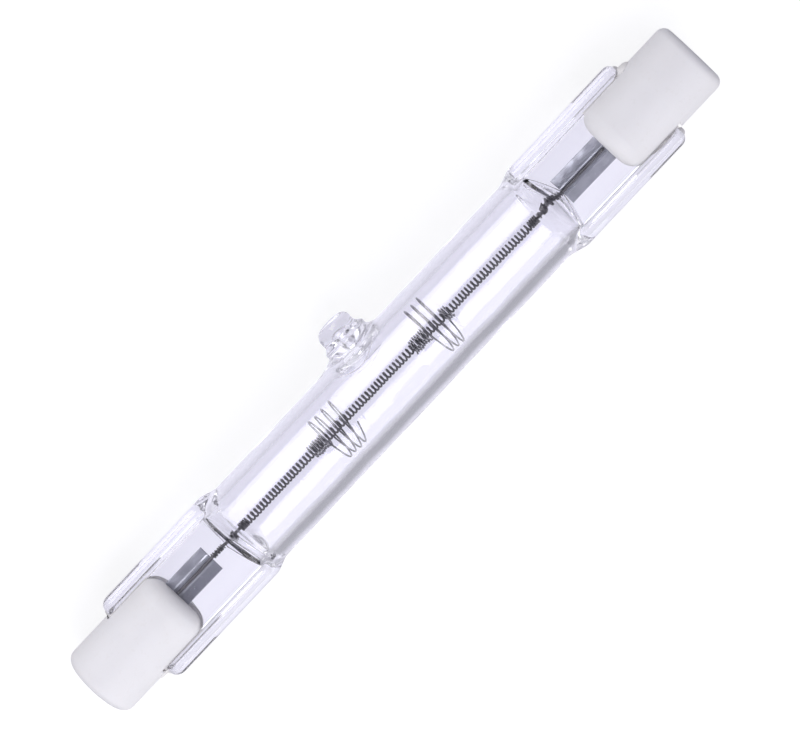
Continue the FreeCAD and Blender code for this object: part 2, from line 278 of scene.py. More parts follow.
def wire(parts: MeshParts, path: np.ndarray, radius: float | np.ndarray, sides: int = 8) -> None:
    """Adds a round wire along a path, closed by a low dome at each end.

    Each ring lies across the path's own direction. Its first spoke is the part of the X axis, or
    of the Z axis on a straight rod along X, that is square to that direction.

    Args:
        parts: Where the surface goes.
        path: Points of shape (n, 3).
        radius: Radius, or one radius for each point.
        sides: Vertices round the wire.
    """
    along = np.gradient(path, axis=0)
    along /= np.linalg.norm(along, axis=1)[:, None]
    guide = np.where(np.abs(along[:, :1]) > 0.8, [[0.0, 0.0, 1.0]], [[1.0, 0.0, 0.0]])
    if np.abs(along[:, 0]).max() > 0.8:
        guide = np.broadcast_to([[0.0, 0.0, 1.0]], along.shape)
    first = guide - along * (guide * along).sum(1)[:, None]
    first /= np.linalg.norm(first, axis=1)[:, None]
    second = np.cross(along, first)
    radius = np.broadcast_to(radius, (len(path),))
    dome = radius[[0, 0, -1, -1]] * [0.0, 0.6, 0.6, 0.0]
    centre = np.vstack([path[:1] - along[:1] * radius[0] * 0.4, path[:1] - along[:1] * radius[0] * 0.3, path,
                        path[-1:] + along[-1:] * radius[-1] * 0.3, path[-1:] + along[-1:] * radius[-1] * 0.4])
    size = np.concatenate([dome[:2], radius, dome[2:]])
    pick = np.concatenate([[0, 0], np.arange(len(path)), [-1, -1]])
    angle = full_turn(sides)[:, None]
    ring = first[pick][:, None] * np.cos(angle) + second[pick][:, None] * np.sin(angle)
    points = (centre[:, None] + ring * size[:, None, None])[1:-1]
    start_ring = parts.add(points, sheet_faces(len(points), sides)) + np.arange(sides)
    parts.close(start_ring[::-1], centre[0])
    parts.close(start_ring + (len(points) - 1) * sides, centre[-1])


def turned(profile: np.ndarray, columns: int) -> np.ndarray:
    """Grid of a surface of revolution about X: each profile point goes round in a circle.

    Args:
        profile: Places along X and radii, of shape (n, 2), from one pole to the other.
        columns: Vertices round the axis.

    Returns:
        Points of shape (n, columns, 3).
    """
    angle = full_turn(columns)
    return grid(profile[:, :1], profile[:, 1:] * np.cos(angle), profile[:, 1:] * np.sin(angle))


def wound_length(turn: np.ndarray, pitch: np.ndarray) -> np.ndarray:
    """Length gained along a coil up to each turn, the running sum of the pitch over the turns."""
    return np.concatenate([[0], np.cumsum((pitch[1:] + pitch[:-1]) / 2 * np.diff(turn))])


def softened(corners: list[tuple[float, float, float]], steps: int = 7) -> np.ndarray:
    """Open run through corners, each rounded by its own radius except the first and the last.

    Args:
        corners: Place along X, radius from the axis and rounding radius of each corner.
        steps: Points on each rounding.

    Returns:
        Array of shape (n, 2).
    """
    table = np.array(corners, float)
    arcs = rounded(table[:, :2], table[:, 2], steps).reshape(len(table), steps, 2)
    return np.vstack([table[:1, :2], arcs[1:-1].reshape(-1, 2), table[-1:, :2]])


# Shader node groups, each built once.


class NodeSketch:
    """A node tree that is being drawn, node by node."""

    def __init__(self, tree: bpy.types.NodeTree) -> None:
        """Starts on a tree."""
        self.tree = tree

    def add(self, kind: str, inputs: dict[str | int, object] | None = None, **settings: object) -> bpy.types.Node:
        """Adds a shader node with its settings and inputs.

        Args:
            kind: Node type, without the ShaderNode that starts its name.
            inputs: For an input's name or number, the output that feeds it or its own value.
            settings: Values of the node's own settings.

        Returns:
            The new node.
        """
        node = self.tree.nodes.new("ShaderNode" + kind)
        for name, value in settings.items():
            setattr(node, name, value)
        for name, value in (inputs or {}).items():
            self.feed(node, name, value)
        return node

    def feed(self, node: bpy.types.Node, name: str | int, value: object) -> None:
        """Links an output to a node's input, or sets the input's own value.

        Args:
            node: The node.
            name: Name or number of its input.
            value: Output of another node, or a plain value.
        """
        if isinstance(value, bpy.types.NodeSocket):
            self.tree.links.new(value, node.inputs[name])
        else:
            node.inputs[name].default_value = value

    def calculate(self, operation: str, *values: object) -> bpy.types.NodeSocket:
        """Output of a Math node that works on outputs or plain numbers."""
        return self.add("Math", dict(enumerate(values)), operation=operation).outputs[0]

    def noise(self, vector: bpy.types.NodeSocket, scale: object, detail: float) -> bpy.types.NodeSocket:
        """Output of a Noise Texture node."""
        return self.add("TexNoise", {"Vector": vector, "Scale": scale, "Detail": detail}).outputs["Fac"]

    def spread(self, value: bpy.types.NodeSocket, low: float, high: float, to_low: object = 0.0,
               to_high: object = 1.0, soft: bool = False) -> bpy.types.NodeSocket:
        """Value carried over from one range to another and cut to its ends.

        Args:
            value: Output that gives the value.
            low: Start of the range it comes from.
            high: End of the range it comes from.
            to_low: What the start becomes, as a number or an output.
            to_high: What the end becomes, as a number or an output.
            soft: Whether the change eases in and out.

        Returns:
            Output of the Map Range node.
        """
        inputs = {"Value": value, "From Min": low, "From Max": high, "To Min": to_low, "To Max": to_high}
        return self.add("MapRange", inputs, interpolation_type="SMOOTHSTEP" if soft else "LINEAR").outputs["Result"]

    def bump(self, height: bpy.types.NodeSocket, strength: object, depth: object,
             base: bpy.types.NodeSocket | None = None) -> bpy.types.NodeSocket:
        """Normal of a Bump node.

        Args:
            height: Output that gives the relief.
            strength: Share of the relief that shows.
            depth: Height of the relief in metres.
            base: Normal that the relief starts from, where it isn't the surface's own.

        Returns:
            Output of the Bump node.
        """
        node = self.add("Bump", {"Strength": strength, "Distance": depth, "Height": height})
        if base is not None:
            self.feed(node, "Normal", base)
        return node.outputs["Normal"]

    def mixed(self, kind: str, share: object, first: object, second: object) -> bpy.types.NodeSocket:
        """Output of a Mix node of a data kind, from its first to its second value by a share."""
        return self.add("Mix", {"Factor": share, "A": first, "B": second}, data_type=kind).outputs["Result"]


class GroupSketch(NodeSketch):
    """A shader node group that is being drawn, with named inputs and outputs."""

    def __init__(self, name: str, inputs: dict[str, float | tuple], outputs: dict[str, str]) -> None:
        """Starts a group.

        Args:
            name: Name of the group.
            inputs: Default value by input name, a number or a colour.
            outputs: Socket type by output name.
        """
        super().__init__(bpy.data.node_groups.new(name, "ShaderNodeTree"))
        for label, value in inputs.items():
            kind = "NodeSocketColor" if isinstance(value, tuple) else "NodeSocketFloat"
            self.tree.interface.new_socket(label, in_out="INPUT", socket_type=kind).default_value = value
        for label, kind in outputs.items():
            self.tree.interface.new_socket(label, in_out="OUTPUT", socket_type=kind)
        self.inside = self.tree.nodes.new("NodeGroupInput").outputs
        self.outside = self.tree.nodes.new("NodeGroupOutput")
        self.place = self.add("TexCoord").outputs["Object"]

    def end(self, label: str, value: bpy.types.NodeSocket) -> bpy.types.NodeTree:
        """The finished group, whose named output gives a value."""
        self.feed(self.outside, label, value)
        return self.tree


@cache
def mottled_tone() -> bpy.types.NodeTree:
    """Group that mixes two colours by soft cloudy noise, with finer speckles of a third."""
    group = GroupSketch("mottled_tone", {
        "Colour": (0.8, 0.8, 0.8, 1), "Cloud Colour": (0.7, 0.7, 0.7, 1), "Speck Colour": (0.5, 0.5, 0.5, 1),
        "Cloud Scale": 200.0, "Cloud Amount": 0.5, "Speck Scale": 2500.0, "Speck Amount": 0.2,
    }, {"Colour": "NodeSocketColor"})
    inside = group.inside
    clouds = group.spread(group.noise(group.place, inside["Cloud Scale"], 3.0), 0.35, 0.65)
    specks = group.spread(group.noise(group.place, inside["Speck Scale"], 1.0), 0.62, 0.72)
    cloud_share = group.calculate("MULTIPLY", clouds, inside["Cloud Amount"])
    speck_share = group.calculate("MULTIPLY", specks, inside["Speck Amount"])
    cloudy = group.mixed("RGBA", cloud_share, inside["Colour"], inside["Cloud Colour"])
    return group.end("Colour", group.mixed("RGBA", speck_share, cloudy, inside["Speck Colour"]))


@cache
def fine_relief() -> bpy.types.NodeTree:
    """Group that bumps a surface by coarse and fine noise added together."""
    group = GroupSketch("fine_relief", {
        "Coarse Scale": 400.0, "Coarse Share": 0.5, "Fine Scale": 4000.0, "Strength": 0.2, "Depth": 0.00005,
    }, {"Normal": "NodeSocketVector"})
    inside = group.inside
    coarse = group.noise(group.place, inside["Coarse Scale"], 2.0)
    fine = group.noise(group.place, inside["Fine Scale"], 2.0)
    both = group.mixed("FLOAT", inside["Coarse Share"], fine, coarse)
    return group.end("Normal", group.bump(both, inside["Strength"], inside["Depth"]))


@cache
def drawn_skin() -> bpy.types.NodeTree:
    """Group that bumps a surface by fine lines along X and by slow waves, as drawn tube has."""
    group = GroupSketch("drawn_skin", {
        "Line Scale": 700.0, "Line Strength": 0.05, "Wave Scale": 200.0, "Wave Strength": 0.05, "Depth": 0.00005,
    }, {"Normal": "NodeSocketVector"})
    inside = group.inside
    stretched = group.add("Mapping", {"Vector": group.place, "Scale": (0.03, 1.0, 1.0)}).outputs["Vector"]
    lines = group.noise(stretched, inside["Line Scale"], 2.0)
    waves = group.noise(group.place, inside["Wave Scale"], 1.0)
    wavy = group.bump(waves, inside["Wave Strength"], inside["Depth"])
    return group.end("Normal", group.bump(lines, inside["Line Strength"], inside["Depth"], wavy))


@cache
def uneven_gloss() -> bpy.types.NodeTree:
    """Group that spreads a roughness between a low and a high value by smudgy noise."""
    group = GroupSketch("uneven_gloss", {"Low": 0.2, "High": 0.4, "Scale": 300.0}, {"Roughness": "NodeSocketFloat"})
    inside = group.inside
    smudges = group.noise(group.place, inside["Scale"], 2.0)
    return group.end("Roughness", group.spread(smudges, 0.3, 0.7, inside["Low"], inside["High"]))


class MaterialSketch(NodeSketch):
    """A material that is being drawn, with one Principled shader."""

    def __init__(self, name: str) -> None:
        """Starts a material of a name."""
        self.material = bpy.data.materials.new(name)
        self.material.use_nodes = True
        super().__init__(self.material.node_tree)
        self.tree.nodes.clear()
        self.shader = self.add("BsdfPrincipled")
        self.output = self.add("OutputMaterial", {"Surface": self.shader.outputs["BSDF"]})

    def use(self, group: bpy.types.NodeTree, values: dict[str, object]) -> bpy.types.NodeSocket:
        """Places a node group with its own values.

        Args:
            group: The node group.
            values: Input values by socket name.

        Returns:
            The group's output.
        """
        return self.add("Group", values, node_tree=group).outputs[0]

    def give(self, values: dict[str, object]) -> None:
        """Sets or links inputs of the Principled shader, by their names."""
        for label, value in values.items():
            self.feed(self.shader, label, value)


Colour = tuple[float, float, float]


def rgba(colour: Colour) -> tuple[float, float, float, float]:
    """Colour with full alpha."""
    return (*colour, 1.0)


@dataclass(frozen=True)
class PaintedFinish:
    """A finish of cloudy colour, uneven gloss and fine relief on one Principled shader."""

    name: str
    colour: Colour
    cloud_colour: Colour
    speck_colour: Colour
    metallic: float = 0.0
    cloud_scale: float = 250.0
    cloud_amount: float = 0.5
    speck_scale: float = 3000.0
    speck_amount: float = 0.2
    rough_low: float = 0.3
    rough_high: float = 0.5
    gloss_scale: float = 400.0
    relief_coarse_scale: float = 500.0
    relief_coarse_share: float = 0.5
    relief_fine_scale: float = 5000.0
    relief_strength: float = 0.2
    relief_depth: float = 0.00004
    ior: float = 1.5
    scatter: float = 0.0
    scatter_spread: tuple[float, float, float] = (1.0, 0.95, 0.9)
    scatter_depth: float = 0.0006

    def material(self) -> bpy.types.Material:
        """The finish as a material."""
        sketch = MaterialSketch(self.name)
        tone = sketch.use(mottled_tone(), {
            "Colour": rgba(self.colour), "Cloud Colour": rgba(self.cloud_colour),
            "Speck Colour": rgba(self.speck_colour), "Cloud Scale": self.cloud_scale,
            "Cloud Amount": self.cloud_amount, "Speck Scale": self.speck_scale, "Speck Amount": self.speck_amount,
        })
        gloss = sketch.use(uneven_gloss(), {
            "Low": self.rough_low, "High": self.rough_high, "Scale": self.gloss_scale,
        })
        relief = sketch.use(fine_relief(), {
            "Coarse Scale": self.relief_coarse_scale, "Coarse Share": self.relief_coarse_share,
            "Fine Scale": self.relief_fine_scale, "Strength": self.relief_strength, "Depth": self.relief_depth,
        })
        sketch.give({
            "Base Color": tone, "Roughness": gloss, "Normal": relief, "Metallic": self.metallic, "IOR": self.ior,
        })
        if self.scatter:
            sketch.give({
                "Subsurface Weight": self.scatter, "Subsurface Radius": self.scatter_spread,
                "Subsurface Scale": self.scatter_depth,
            })
        return sketch.material


@dataclass(frozen=True)
class QuartzFinish:
    """Clear fused quartz, with the faint lines and waves that drawing and pressing leave in its skin."""

    name: str = "fused_quartz"
    colour: Colour = (0.96, 0.957, 0.98)
    ior: float = 1.458
    line_scale: float = 700.0
    line_strength: float = 0.02
    wave_scale: float = 170.0
    wave_strength: float = 0.05
    wave_depth: float = 0.00005
    clear_until: float = 0.0318
    dull_from: float = 0.0334
    dull_roughness: float = 0.32

    def material(self) -> bpy.types.Material:
        """The finish as a material, clear but for the cut and fire-dulled ends of the seals."""
        sketch = MaterialSketch(self.name)
        relief = sketch.use(drawn_skin(), {
            "Line Scale": self.line_scale, "Line Strength": self.line_strength, "Wave Scale": self.wave_scale,
            "Wave Strength": self.wave_strength, "Depth": self.wave_depth,
        })
        place = sketch.add("TexCoord").outputs["Object"]
        reach = sketch.calculate("ABSOLUTE", sketch.add("SeparateXYZ", {"Vector": place}).outputs["X"])
        dull = sketch.spread(reach, self.clear_until, self.dull_from, to_high=self.dull_roughness, soft=True)
        sketch.give({
            "Base Color": rgba(self.colour), "Transmission Weight": 1.0, "IOR": self.ior, "Normal": relief,
            "Roughness": dull,
        })
        return sketch.material


TUNGSTEN = PaintedFinish(
    "drawn_tungsten", (0.16, 0.155, 0.165), (0.08, 0.078, 0.085), (0.3, 0.29, 0.3), metallic=0.9,
    cloud_scale=900.0, rough_low=0.28, rough_high=0.45, relief_fine_scale=9000.0, relief_strength=0.15,
    relief_depth=0.00001,
)
SUPPORT_TUNGSTEN = PaintedFinish(
    "bright_tungsten", (0.32, 0.315, 0.33), (0.18, 0.175, 0.19), (0.46, 0.45, 0.47), metallic=1.0,
    cloud_scale=900.0, rough_low=0.14, rough_high=0.3, relief_fine_scale=9000.0, relief_strength=0.15,
    relief_depth=0.00001,
)
MOLYBDENUM_FOIL = PaintedFinish(
    "molybdenum_foil", (0.45, 0.455, 0.52), (0.3, 0.305, 0.36), (0.66, 0.66, 0.72), metallic=0.8,
    cloud_scale=700.0, rough_low=0.25, rough_high=0.5, relief_coarse_scale=1200.0, relief_strength=0.35,
    relief_depth=0.00002,
)
LEAD_METAL = PaintedFinish(
    "molybdenum_lead", (0.3, 0.3, 0.33), (0.2, 0.2, 0.22), (0.45, 0.45, 0.48), metallic=0.9,
    cloud_scale=800.0, rough_low=0.25, rough_high=0.4, relief_strength=0.15, relief_depth=0.00001,
)
CAP_CERAMIC = PaintedFinish(
    "steatite_ceramic", (0.835, 0.822, 0.835), (0.775, 0.76, 0.76), (0.70, 0.67, 0.64), cloud_scale=140.0,
    cloud_amount=0.45, speck_scale=2600.0, speck_amount=0.12, rough_low=0.5, rough_high=0.68,
    relief_coarse_scale=700.0, relief_coarse_share=0.45, relief_fine_scale=3800.0, relief_strength=0.35,
    relief_depth=0.00003, ior=1.52, scatter=0.25,
)
CAP_CEMENT = PaintedFinish(
    "cap_cement", (0.87, 0.85, 0.84), (0.77, 0.75, 0.745), (0.66, 0.63, 0.61), cloud_scale=500.0,
    cloud_amount=0.6, speck_scale=4200.0, speck_amount=0.35, rough_low=0.7, rough_high=0.9,
    relief_coarse_scale=900.0, relief_coarse_share=0.4, relief_fine_scale=4200.0, relief_strength=0.6,
    relief_depth=0.00006, scatter=0.15,
)
CONTACT_NICKEL = PaintedFinish(
    "nickel_contact", (0.66, 0.645, 0.62), (0.55, 0.535, 0.51), (0.42, 0.40, 0.37), metallic=1.0,
    cloud_scale=600.0, rough_low=0.2, rough_high=0.36, relief_coarse_scale=1600.0, relief_strength=0.2,
    relief_depth=0.00001,
)


@dataclass(frozen=True)
class Press:
    """What the jaws left at one end. No two ends are alike.

    Places are distances from the lamp's middle. The wall is pressed in from start to front, the
    jaw's edge, which bows out at the middle and slants by a share of the place across. The sides
    spread from spread_start to spread_end. The cavity closes in height from cavity_start, narrows
    from cavity_full and ends at cavity_end.
    """

    start: float
    front: float
    bow: float
    slant: float
    spread_start: float
    spread_end: float
    cavity_start: float
    cavity_full: float
    cavity_end: float


# Radius and height of the exhaust tip, from its foot on the tube up to its top.
TIP_PROFILE = (
    (3.3, 0.0), (3.05, 0.03), (2.85, 0.08), (2.68, 0.15), (2.52, 0.24), (2.4, 0.34), (2.3, 0.45), (2.25, 0.55),
    (2.26, 0.64), (2.31, 0.73), (2.33, 0.82), (2.27, 0.92), (2.15, 1.03), (2.03, 1.14), (1.92, 1.26), (1.85, 1.4),
    (1.82, 1.55), (1.83, 1.8), (1.86, 2.0), (1.84, 2.2), (1.8, 2.34), (1.71, 2.5), (1.58, 2.64), (1.4, 2.76),
    (1.2, 2.84), (0.95, 2.90), (0.65, 2.93), (0.3, 2.945),
)


@dataclass
class QuartzEnvelope:
    """The glass in one piece: tube, shoulders, two pinch seals and the sealed exhaust tip."""

    tube_radius: float = 4.4
    bore_radius: float = 3.4
    seal_end: float = 33.35
    seal_half_width: float = 4.9
    rim_crest: float = 4.0
    rim_foot: float = 3.3
    rim_half_height: float = 1.7
    rim_roundness: float = 2.3
    rim_end_radius: float = 0.8
    web_half_height: float = 1.1
    press_edge: float = 0.7
    nose_limit: float = 0.998
    nose_narrowing: float = 0.42
    nose_lowering: float = 0.9
    wave_height: float = 0.007
    straight_end: float = 17.2
    shoulder_end: float = 22.3
    right: Press = Press(start=19.2, front=20.55, bow=0.35, slant=-0.16, spread_start=18.3, spread_end=20.4,
                         cavity_start=18.9, cavity_full=20.5, cavity_end=21.4)
    left: Press = Press(start=19.45, front=20.45, bow=1.25, slant=0.14, spread_start=18.4, spread_end=20.7,
                        cavity_start=19.1, cavity_full=20.4, cavity_end=22.1)
    cavity_half_width: float = 0.36
    cavity_half_height: float = 0.36
    cavity_past_front: float = 0.5
    cavity_taper: float = 1.6
    cavity_flattening: float = 0.35
    cavity_point: float = 0.12
    tip_offset: float = 0.6
    stub_radius: float = 1.84
    foot_height: float = 0.5
    foot_reach: float = 0.3
    foot_spread: float = 0.08
    tip_sway: float = 0.05
    tip_slope: float = 0.08
    tip_hollow_radius: float = 0.72
    tip_hollow_depth: float = 4.9
    tip_hollow_half_length: float = 1.35
    columns: int = 208
    patch_half_length: float = 4.4
    patch_rows: int = 60
    columns_inside: int = 112

    def seal_outline(self) -> np.ndarray:
        """Outline of a seal: a flat web between two round beads.

        From the outermost point, a superellipse quarter rises to the bead's crest. From the crest
        a smooth step leads down to the web. The quarter is mirrored in both axes.

        Returns:
            Points (y, z) at equal steps of length, from +Y towards +Z.
        """
        turn = np.linspace(0, math.pi / 2, 60)
        power = 2 / self.rim_roundness
        outer = np.stack([
            self.rim_crest + (self.seal_half_width - self.rim_crest) * np.cos(turn).clip(0) ** power,
            self.rim_half_height * np.sin(turn) ** power,
        ], -1)
        across = np.linspace(self.rim_crest, 0, 90)[1:]
        step = eased((across - self.rim_foot) / (self.rim_crest - self.rim_foot))
        inner = np.stack([across, self.web_half_height + (self.rim_half_height - self.web_half_height) * step], -1)
        quarter = np.vstack([outer, inner])
        upper = np.vstack([quarter, quarter[-2::-1] * [-1, 1]])
        return resampled(np.vstack([upper, upper[-2:0:-1] * [1, -1]]), self.columns)

    def tube_outline(self) -> np.ndarray:
        """Round outline of the tube, with as many points as the seal's."""
        angle = full_turn(self.columns)
        return np.stack([np.cos(angle), np.sin(angle)], -1) * self.tube_radius

    def pressed(self, x: np.ndarray, y: np.ndarray, press: Press) -> np.ndarray:
        """Share of the way from round to pressed flat at a place on the shoulder.

        The wall turns in from the tube as a cosine, ever steeper, and ends in the small round of
        the jaw's edge. The jaw's front is a bow, a cosine of y that lies farthest out at the
        middle, and it slants evenly with y.

        Args:
            x: Distance from the lamp's middle.
            y: Place across the tube.
            press: The end's press marks.

        Returns:
            Share from 0 to 1.
        """
        front = press.front + press.bow * (1 + np.cos(math.pi * np.clip(np.abs(y) / self.tube_radius, 0, 1))) / 2
        front = front + press.slant * y
        share = (x - press.start) / (front - press.start)
        edge = self.press_edge / (front - press.start)
        soft = np.where(share < 1 - edge, share, 1 - edge + edge * np.tanh((share - 1 + edge) / edge))
        return np.clip(1 - np.cos(soft.clip(0, 1) * math.pi / 2), 0, 1)

    def side_rings(self, x: np.ndarray, press: Press) -> np.ndarray:
        """Rings of the outer skin at rising distances from the lamp's middle, on the +X side.

        Each ring is the tube's outline moved towards the seal's: its y by how far the shoulder has
        spread, its z by how far it is pressed. At the very end the beads' noses draw in as quarter
        rounds, seen from above and from the side. Their limit keeps them from standing upright.

        Args:
            x: Distances, of shape (n,).
            press: The end's press marks.

        Returns:
            Array of shape (n, columns, 3).
        """
        tube, seal = self.tube_outline(), self.seal_outline()
        spread = eased((x - press.spread_start) / (press.spread_end - press.spread_start))[:, None]
        share = self.pressed(x[:, None], tube[None, :, 0] + 0 * x[:, None], press)
        y = tube[:, 0] + (seal[:, 0] - tube[:, 0]) * spread
        z = tube[:, 1] + (seal[:, 1] - tube[:, 1]) * share
        draw_marks = self.waviness(x) * (1 - spread) / self.tube_radius
        y = y + tube[:, 0] * draw_marks
        z = z + tube[:, 1] * draw_marks
        into_end = np.clip((x - (self.seal_end - self.rim_end_radius)) / self.rim_end_radius, 0, 1)[:, None]
        nose = 1 - np.sqrt(1 - into_end**2 * self.nose_limit)
        beyond = np.clip(np.abs(y) - self.rim_foot, 0, None)
        y = np.sign(y) * (np.abs(y) - beyond * nose * self.nose_narrowing)
        bead = np.clip(np.abs(z) - self.web_half_height, 0, None)
        z = np.sign(z) * (np.abs(z) - bead * nose * self.nose_lowering)
        return grid(x[:, None], y, z)

    def waviness(self, x: np.ndarray) -> np.ndarray:
        """Slow, hundredths of a millimetre hollows in the skin of drawn tube, as sums of sines.

        Args:
            x: Places along the lamp, of shape (n,).

        Returns:
            Offsets of shape (n, columns), none above zero.
        """
        angle, x = full_turn(self.columns), x[:, None]
        wave = np.sin(0.55 * x + 2 * angle + 0.4) + 0.6 * np.sin(0.9 * x - 3 * angle + 0.92)
        return self.wave_height * (wave + 0.4 * np.sin(2.1 * x + 5 * angle + 0.28) - 2.0)

    def outer_skin(self, parts: MeshParts) -> None:
        """Adds the outside of the glass: rings from end to end, with a block left out for the tip.

        The left end's rings are worked out on the +X side with its own press marks, and their
        places along X take the other sign.

        Args:
            parts: Where the surface goes.
        """
        around_tip = np.linspace(-self.patch_half_length, self.patch_half_length, self.patch_rows + 1)
        around_tip = around_tip + self.tip_offset
        shoulder = np.linspace(self.straight_end, self.shoulder_end, 72)[1:]
        seal = np.linspace(self.shoulder_end, self.seal_end - self.rim_end_radius, 12)[1:]
        bend = np.sin(np.linspace(0, 1, 12)[1:] * math.pi / 2)
        outer = np.concatenate([shoulder, seal, self.seal_end - self.rim_end_radius * (1 - bend)])
        sides = []
        for press, nearest in ((self.left, -around_tip[0]), (self.right, around_tip[-1])):
            x = np.concatenate([np.linspace(nearest, self.straight_end, 22)[1:], outer])
            sides.append(self.side_rings(x, press))
        left = sides[0][::-1] * MIRROR_X
        block_rings = self.side_rings(np.abs(around_tip), self.right)
        block_rings[..., 0] = around_tip[:, None]
        rings = np.concatenate([left, block_rings, sides[1]])
        faces = sheet_faces(len(rings), self.columns)
        row, column = faces[:, 0] // self.columns, faces[:, 0] % self.columns
        eighth = self.columns // 8
        low, tip_row = self.columns // 2 - eighth, len(left)
        inside = (row >= tip_row) & (row < tip_row + self.patch_rows) & (column >= low) & (column < low + 2 * eighth)
        first = parts.add(rings, faces[~inside])
        self.close_end(parts, rings[0], first, True)
        self.close_end(parts, rings[-1], first + (len(rings) - 1) * self.columns, False)
        block = rings[tip_row:tip_row + self.patch_rows + 1, low:low + 2 * eighth + 1]
        border = np.concatenate([block[0, :-1], block[:-1, -1], block[-1, :0:-1], block[:0:-1, 0]])
        self.exhaust_tip(parts, border)

    def close_end(self, parts: MeshParts, ring: np.ndarray, first: int, flip: bool) -> None:
        """Closes the end of a seal by a flat face from its outline to the line halfway up.

        Args:
            parts: Where the face goes.
            ring: The outline's points, of shape (columns, 3).
            first: Number of its first vertex in the piece.
            flip: Whether the face looks towards -X.
        """
        count = self.columns
        middle = ring[:count // 2 + 1] * [1, 1, 0]
        start = parts.add(middle)
        upper = np.arange(count // 2)
        top = np.stack([first + upper, first + upper + 1, start + upper + 1, start + upper], -1)
        lower = (count - upper) % count
        under = np.stack([first + (lower - 1) % count, first + lower, start + upper, start + upper + 1], -1)
        parts.join(np.vstack([top, under]), flip)

    def exhaust_tip(self, parts: MeshParts, border: np.ndarray) -> None:
        """Adds the exhaust tip on a block of the tube's skin.

        Rings close in from the block's border to a foot that runs out farther towards +X, rise
        through the flare, a bulging collar and the stub, and end at a pole. Slow lumps make it
        uneven, as melted glass sets.

        Args:
            parts: Where the surface goes.
            border: Closed ring of points on the tube round the tip.
        """
        aside = border[:, [0, 2]] - [self.tip_offset, 0]
        distance = np.linalg.norm(aside, axis=1)
        angle = np.arctan2(aside[:, 1], aside[:, 0])
        fine = self.smooth_line(np.array(TIP_PROFILE), 76)
        radius, height = fine[:, :1], fine[:, 1:]
        lift = eased(height / self.foot_height)
        foot = self.foot_reach * ((1 + np.cos(angle)) / 2) ** 3 + self.foot_spread * np.sin(angle) ** 2
        long_foot = 1 + foot * (1 - lift)
        lump = 1 + lift * (0.022 * np.sin(2 * angle + 1.3 + height) + 0.018 * np.sin(3 * angle - 2.2 * height)
                           + 0.012 * np.sin(5 * angle + 4 * height + 0.7))
        wide = radius * lump * long_foot
        closing = np.linspace(0, 1, 13)[1:, None]
        plan = distance * (1 - closing) + wide[:1] * closing
        ground = np.sqrt(self.tube_radius**2 - (plan * np.sin(angle)) ** 2) - 0.014 * (1 - closing)
        low = grid(plan * np.cos(angle) + self.tip_offset, -ground, plan * np.sin(angle))
        sway = lift * self.tip_sway * np.sin(1.6 * height + 0.4)
        saddle = np.sqrt(self.tube_radius**2 - (wide * np.sin(angle)) ** 2)
        level = saddle + (self.tube_radius - saddle) * lift + height
        slope = lift * self.tip_slope * (1 - np.sin(angle + 2.4)) / 2 * eased((height - 0.9) / 1.5)
        level = level - slope * radius / self.stub_radius
        high = grid(wide * np.cos(angle) + self.tip_offset + sway, -level, wide * np.sin(angle))
        rings = np.concatenate([border[None], low, high[1:]])
        top = rings[-1].mean(0) + [0, -0.004, 0]
        count = len(border)
        first = parts.add(rings, sheet_faces(len(rings), count))
        parts.close(first + (len(rings) - 1) * count + np.arange(count), top)

    def smooth_line(self, line: np.ndarray, count: int) -> np.ndarray:
        """Line through control points, rounded by averaging, at equal steps of length."""
        fine = resampled(line, count * 4, closed=False)
        kernel = np.hanning(19)[1:-1] / np.hanning(19)[1:-1].sum()
        padded = np.vstack([2 * fine[0] - fine[8:0:-1], fine, 2 * fine[-1] - fine[-2:-10:-1]])
        soft = np.stack([np.convolve(padded[:, k], kernel, "valid") for k in range(2)], -1)
        return resampled(soft, count, closed=False)

    def gas_rings(self, x: np.ndarray, press: Press) -> np.ndarray:
        """Rings of the bore at distances from the lamp's middle, closing as the jaws closed it.

        A ring's half height falls as a cosine, with a small least height round the lead. Its half
        width stays full until the last stretch and then falls by a power, so that the cavity's end
        is a point seen from above.

        Args:
            x: Distances, of shape (n,).
            press: The end's press marks.

        Returns:
            Array of shape (n, columns, 3).
        """
        flat_at = press.front + self.cavity_past_front
        closed_in = np.clip((x - press.cavity_start) / (flat_at - press.cavity_start), 0, 1)
        half_height = np.hypot(self.bore_radius * np.cos(closed_in * math.pi / 2), self.cavity_half_height * closed_in)
        last = np.clip((x - press.cavity_full) / (press.cavity_end - press.cavity_full), 0, 1)
        half_width = self.bore_radius - (self.bore_radius - self.cavity_half_width) * last**self.cavity_taper
        half_height = half_height * (1 - self.cavity_flattening * last**3)
        angle = full_turn(self.columns_inside)
        uneven = 1 + 0.003 * np.sin(0.7 * x[:, None] + 2 * angle) + 0.002 * np.sin(1.3 * x[:, None] - 3 * angle + 1)
        y = half_width[:, None] * np.cos(angle) * uneven
        z = half_height[:, None] * np.sin(angle) * uneven
        return grid(x[:, None], y, z)

    def gas_space(self, parts: MeshParts) -> None:
        """Adds the skin of the bore and its flattened ends, with its faces towards the gas.

        Args:
            parts: Where the surface goes.
        """
        full = min(self.left.cavity_start, self.right.cavity_start)
        middle = self.gas_rings(np.linspace(0, full, 40), self.right)
        ends = []
        for press in (self.left, self.right):
            ends.append(self.gas_rings(np.linspace(full, press.cavity_end, 48)[1:], press))
        points = np.concatenate([ends[0][::-1] * MIRROR_X, middle[:0:-1] * MIRROR_X, middle, ends[1]])
        rows, count = points.shape[:2]
        first = parts.add(points, sheet_faces(rows, count), flip=True)
        for row, beyond in ((0, -self.cavity_point), (rows - 1, self.cavity_point)):
            ring = first + row * count + np.arange(count)
            parts.close(ring, [points[row, 0, 0] + beyond, 0, 0], flip=beyond > 0)

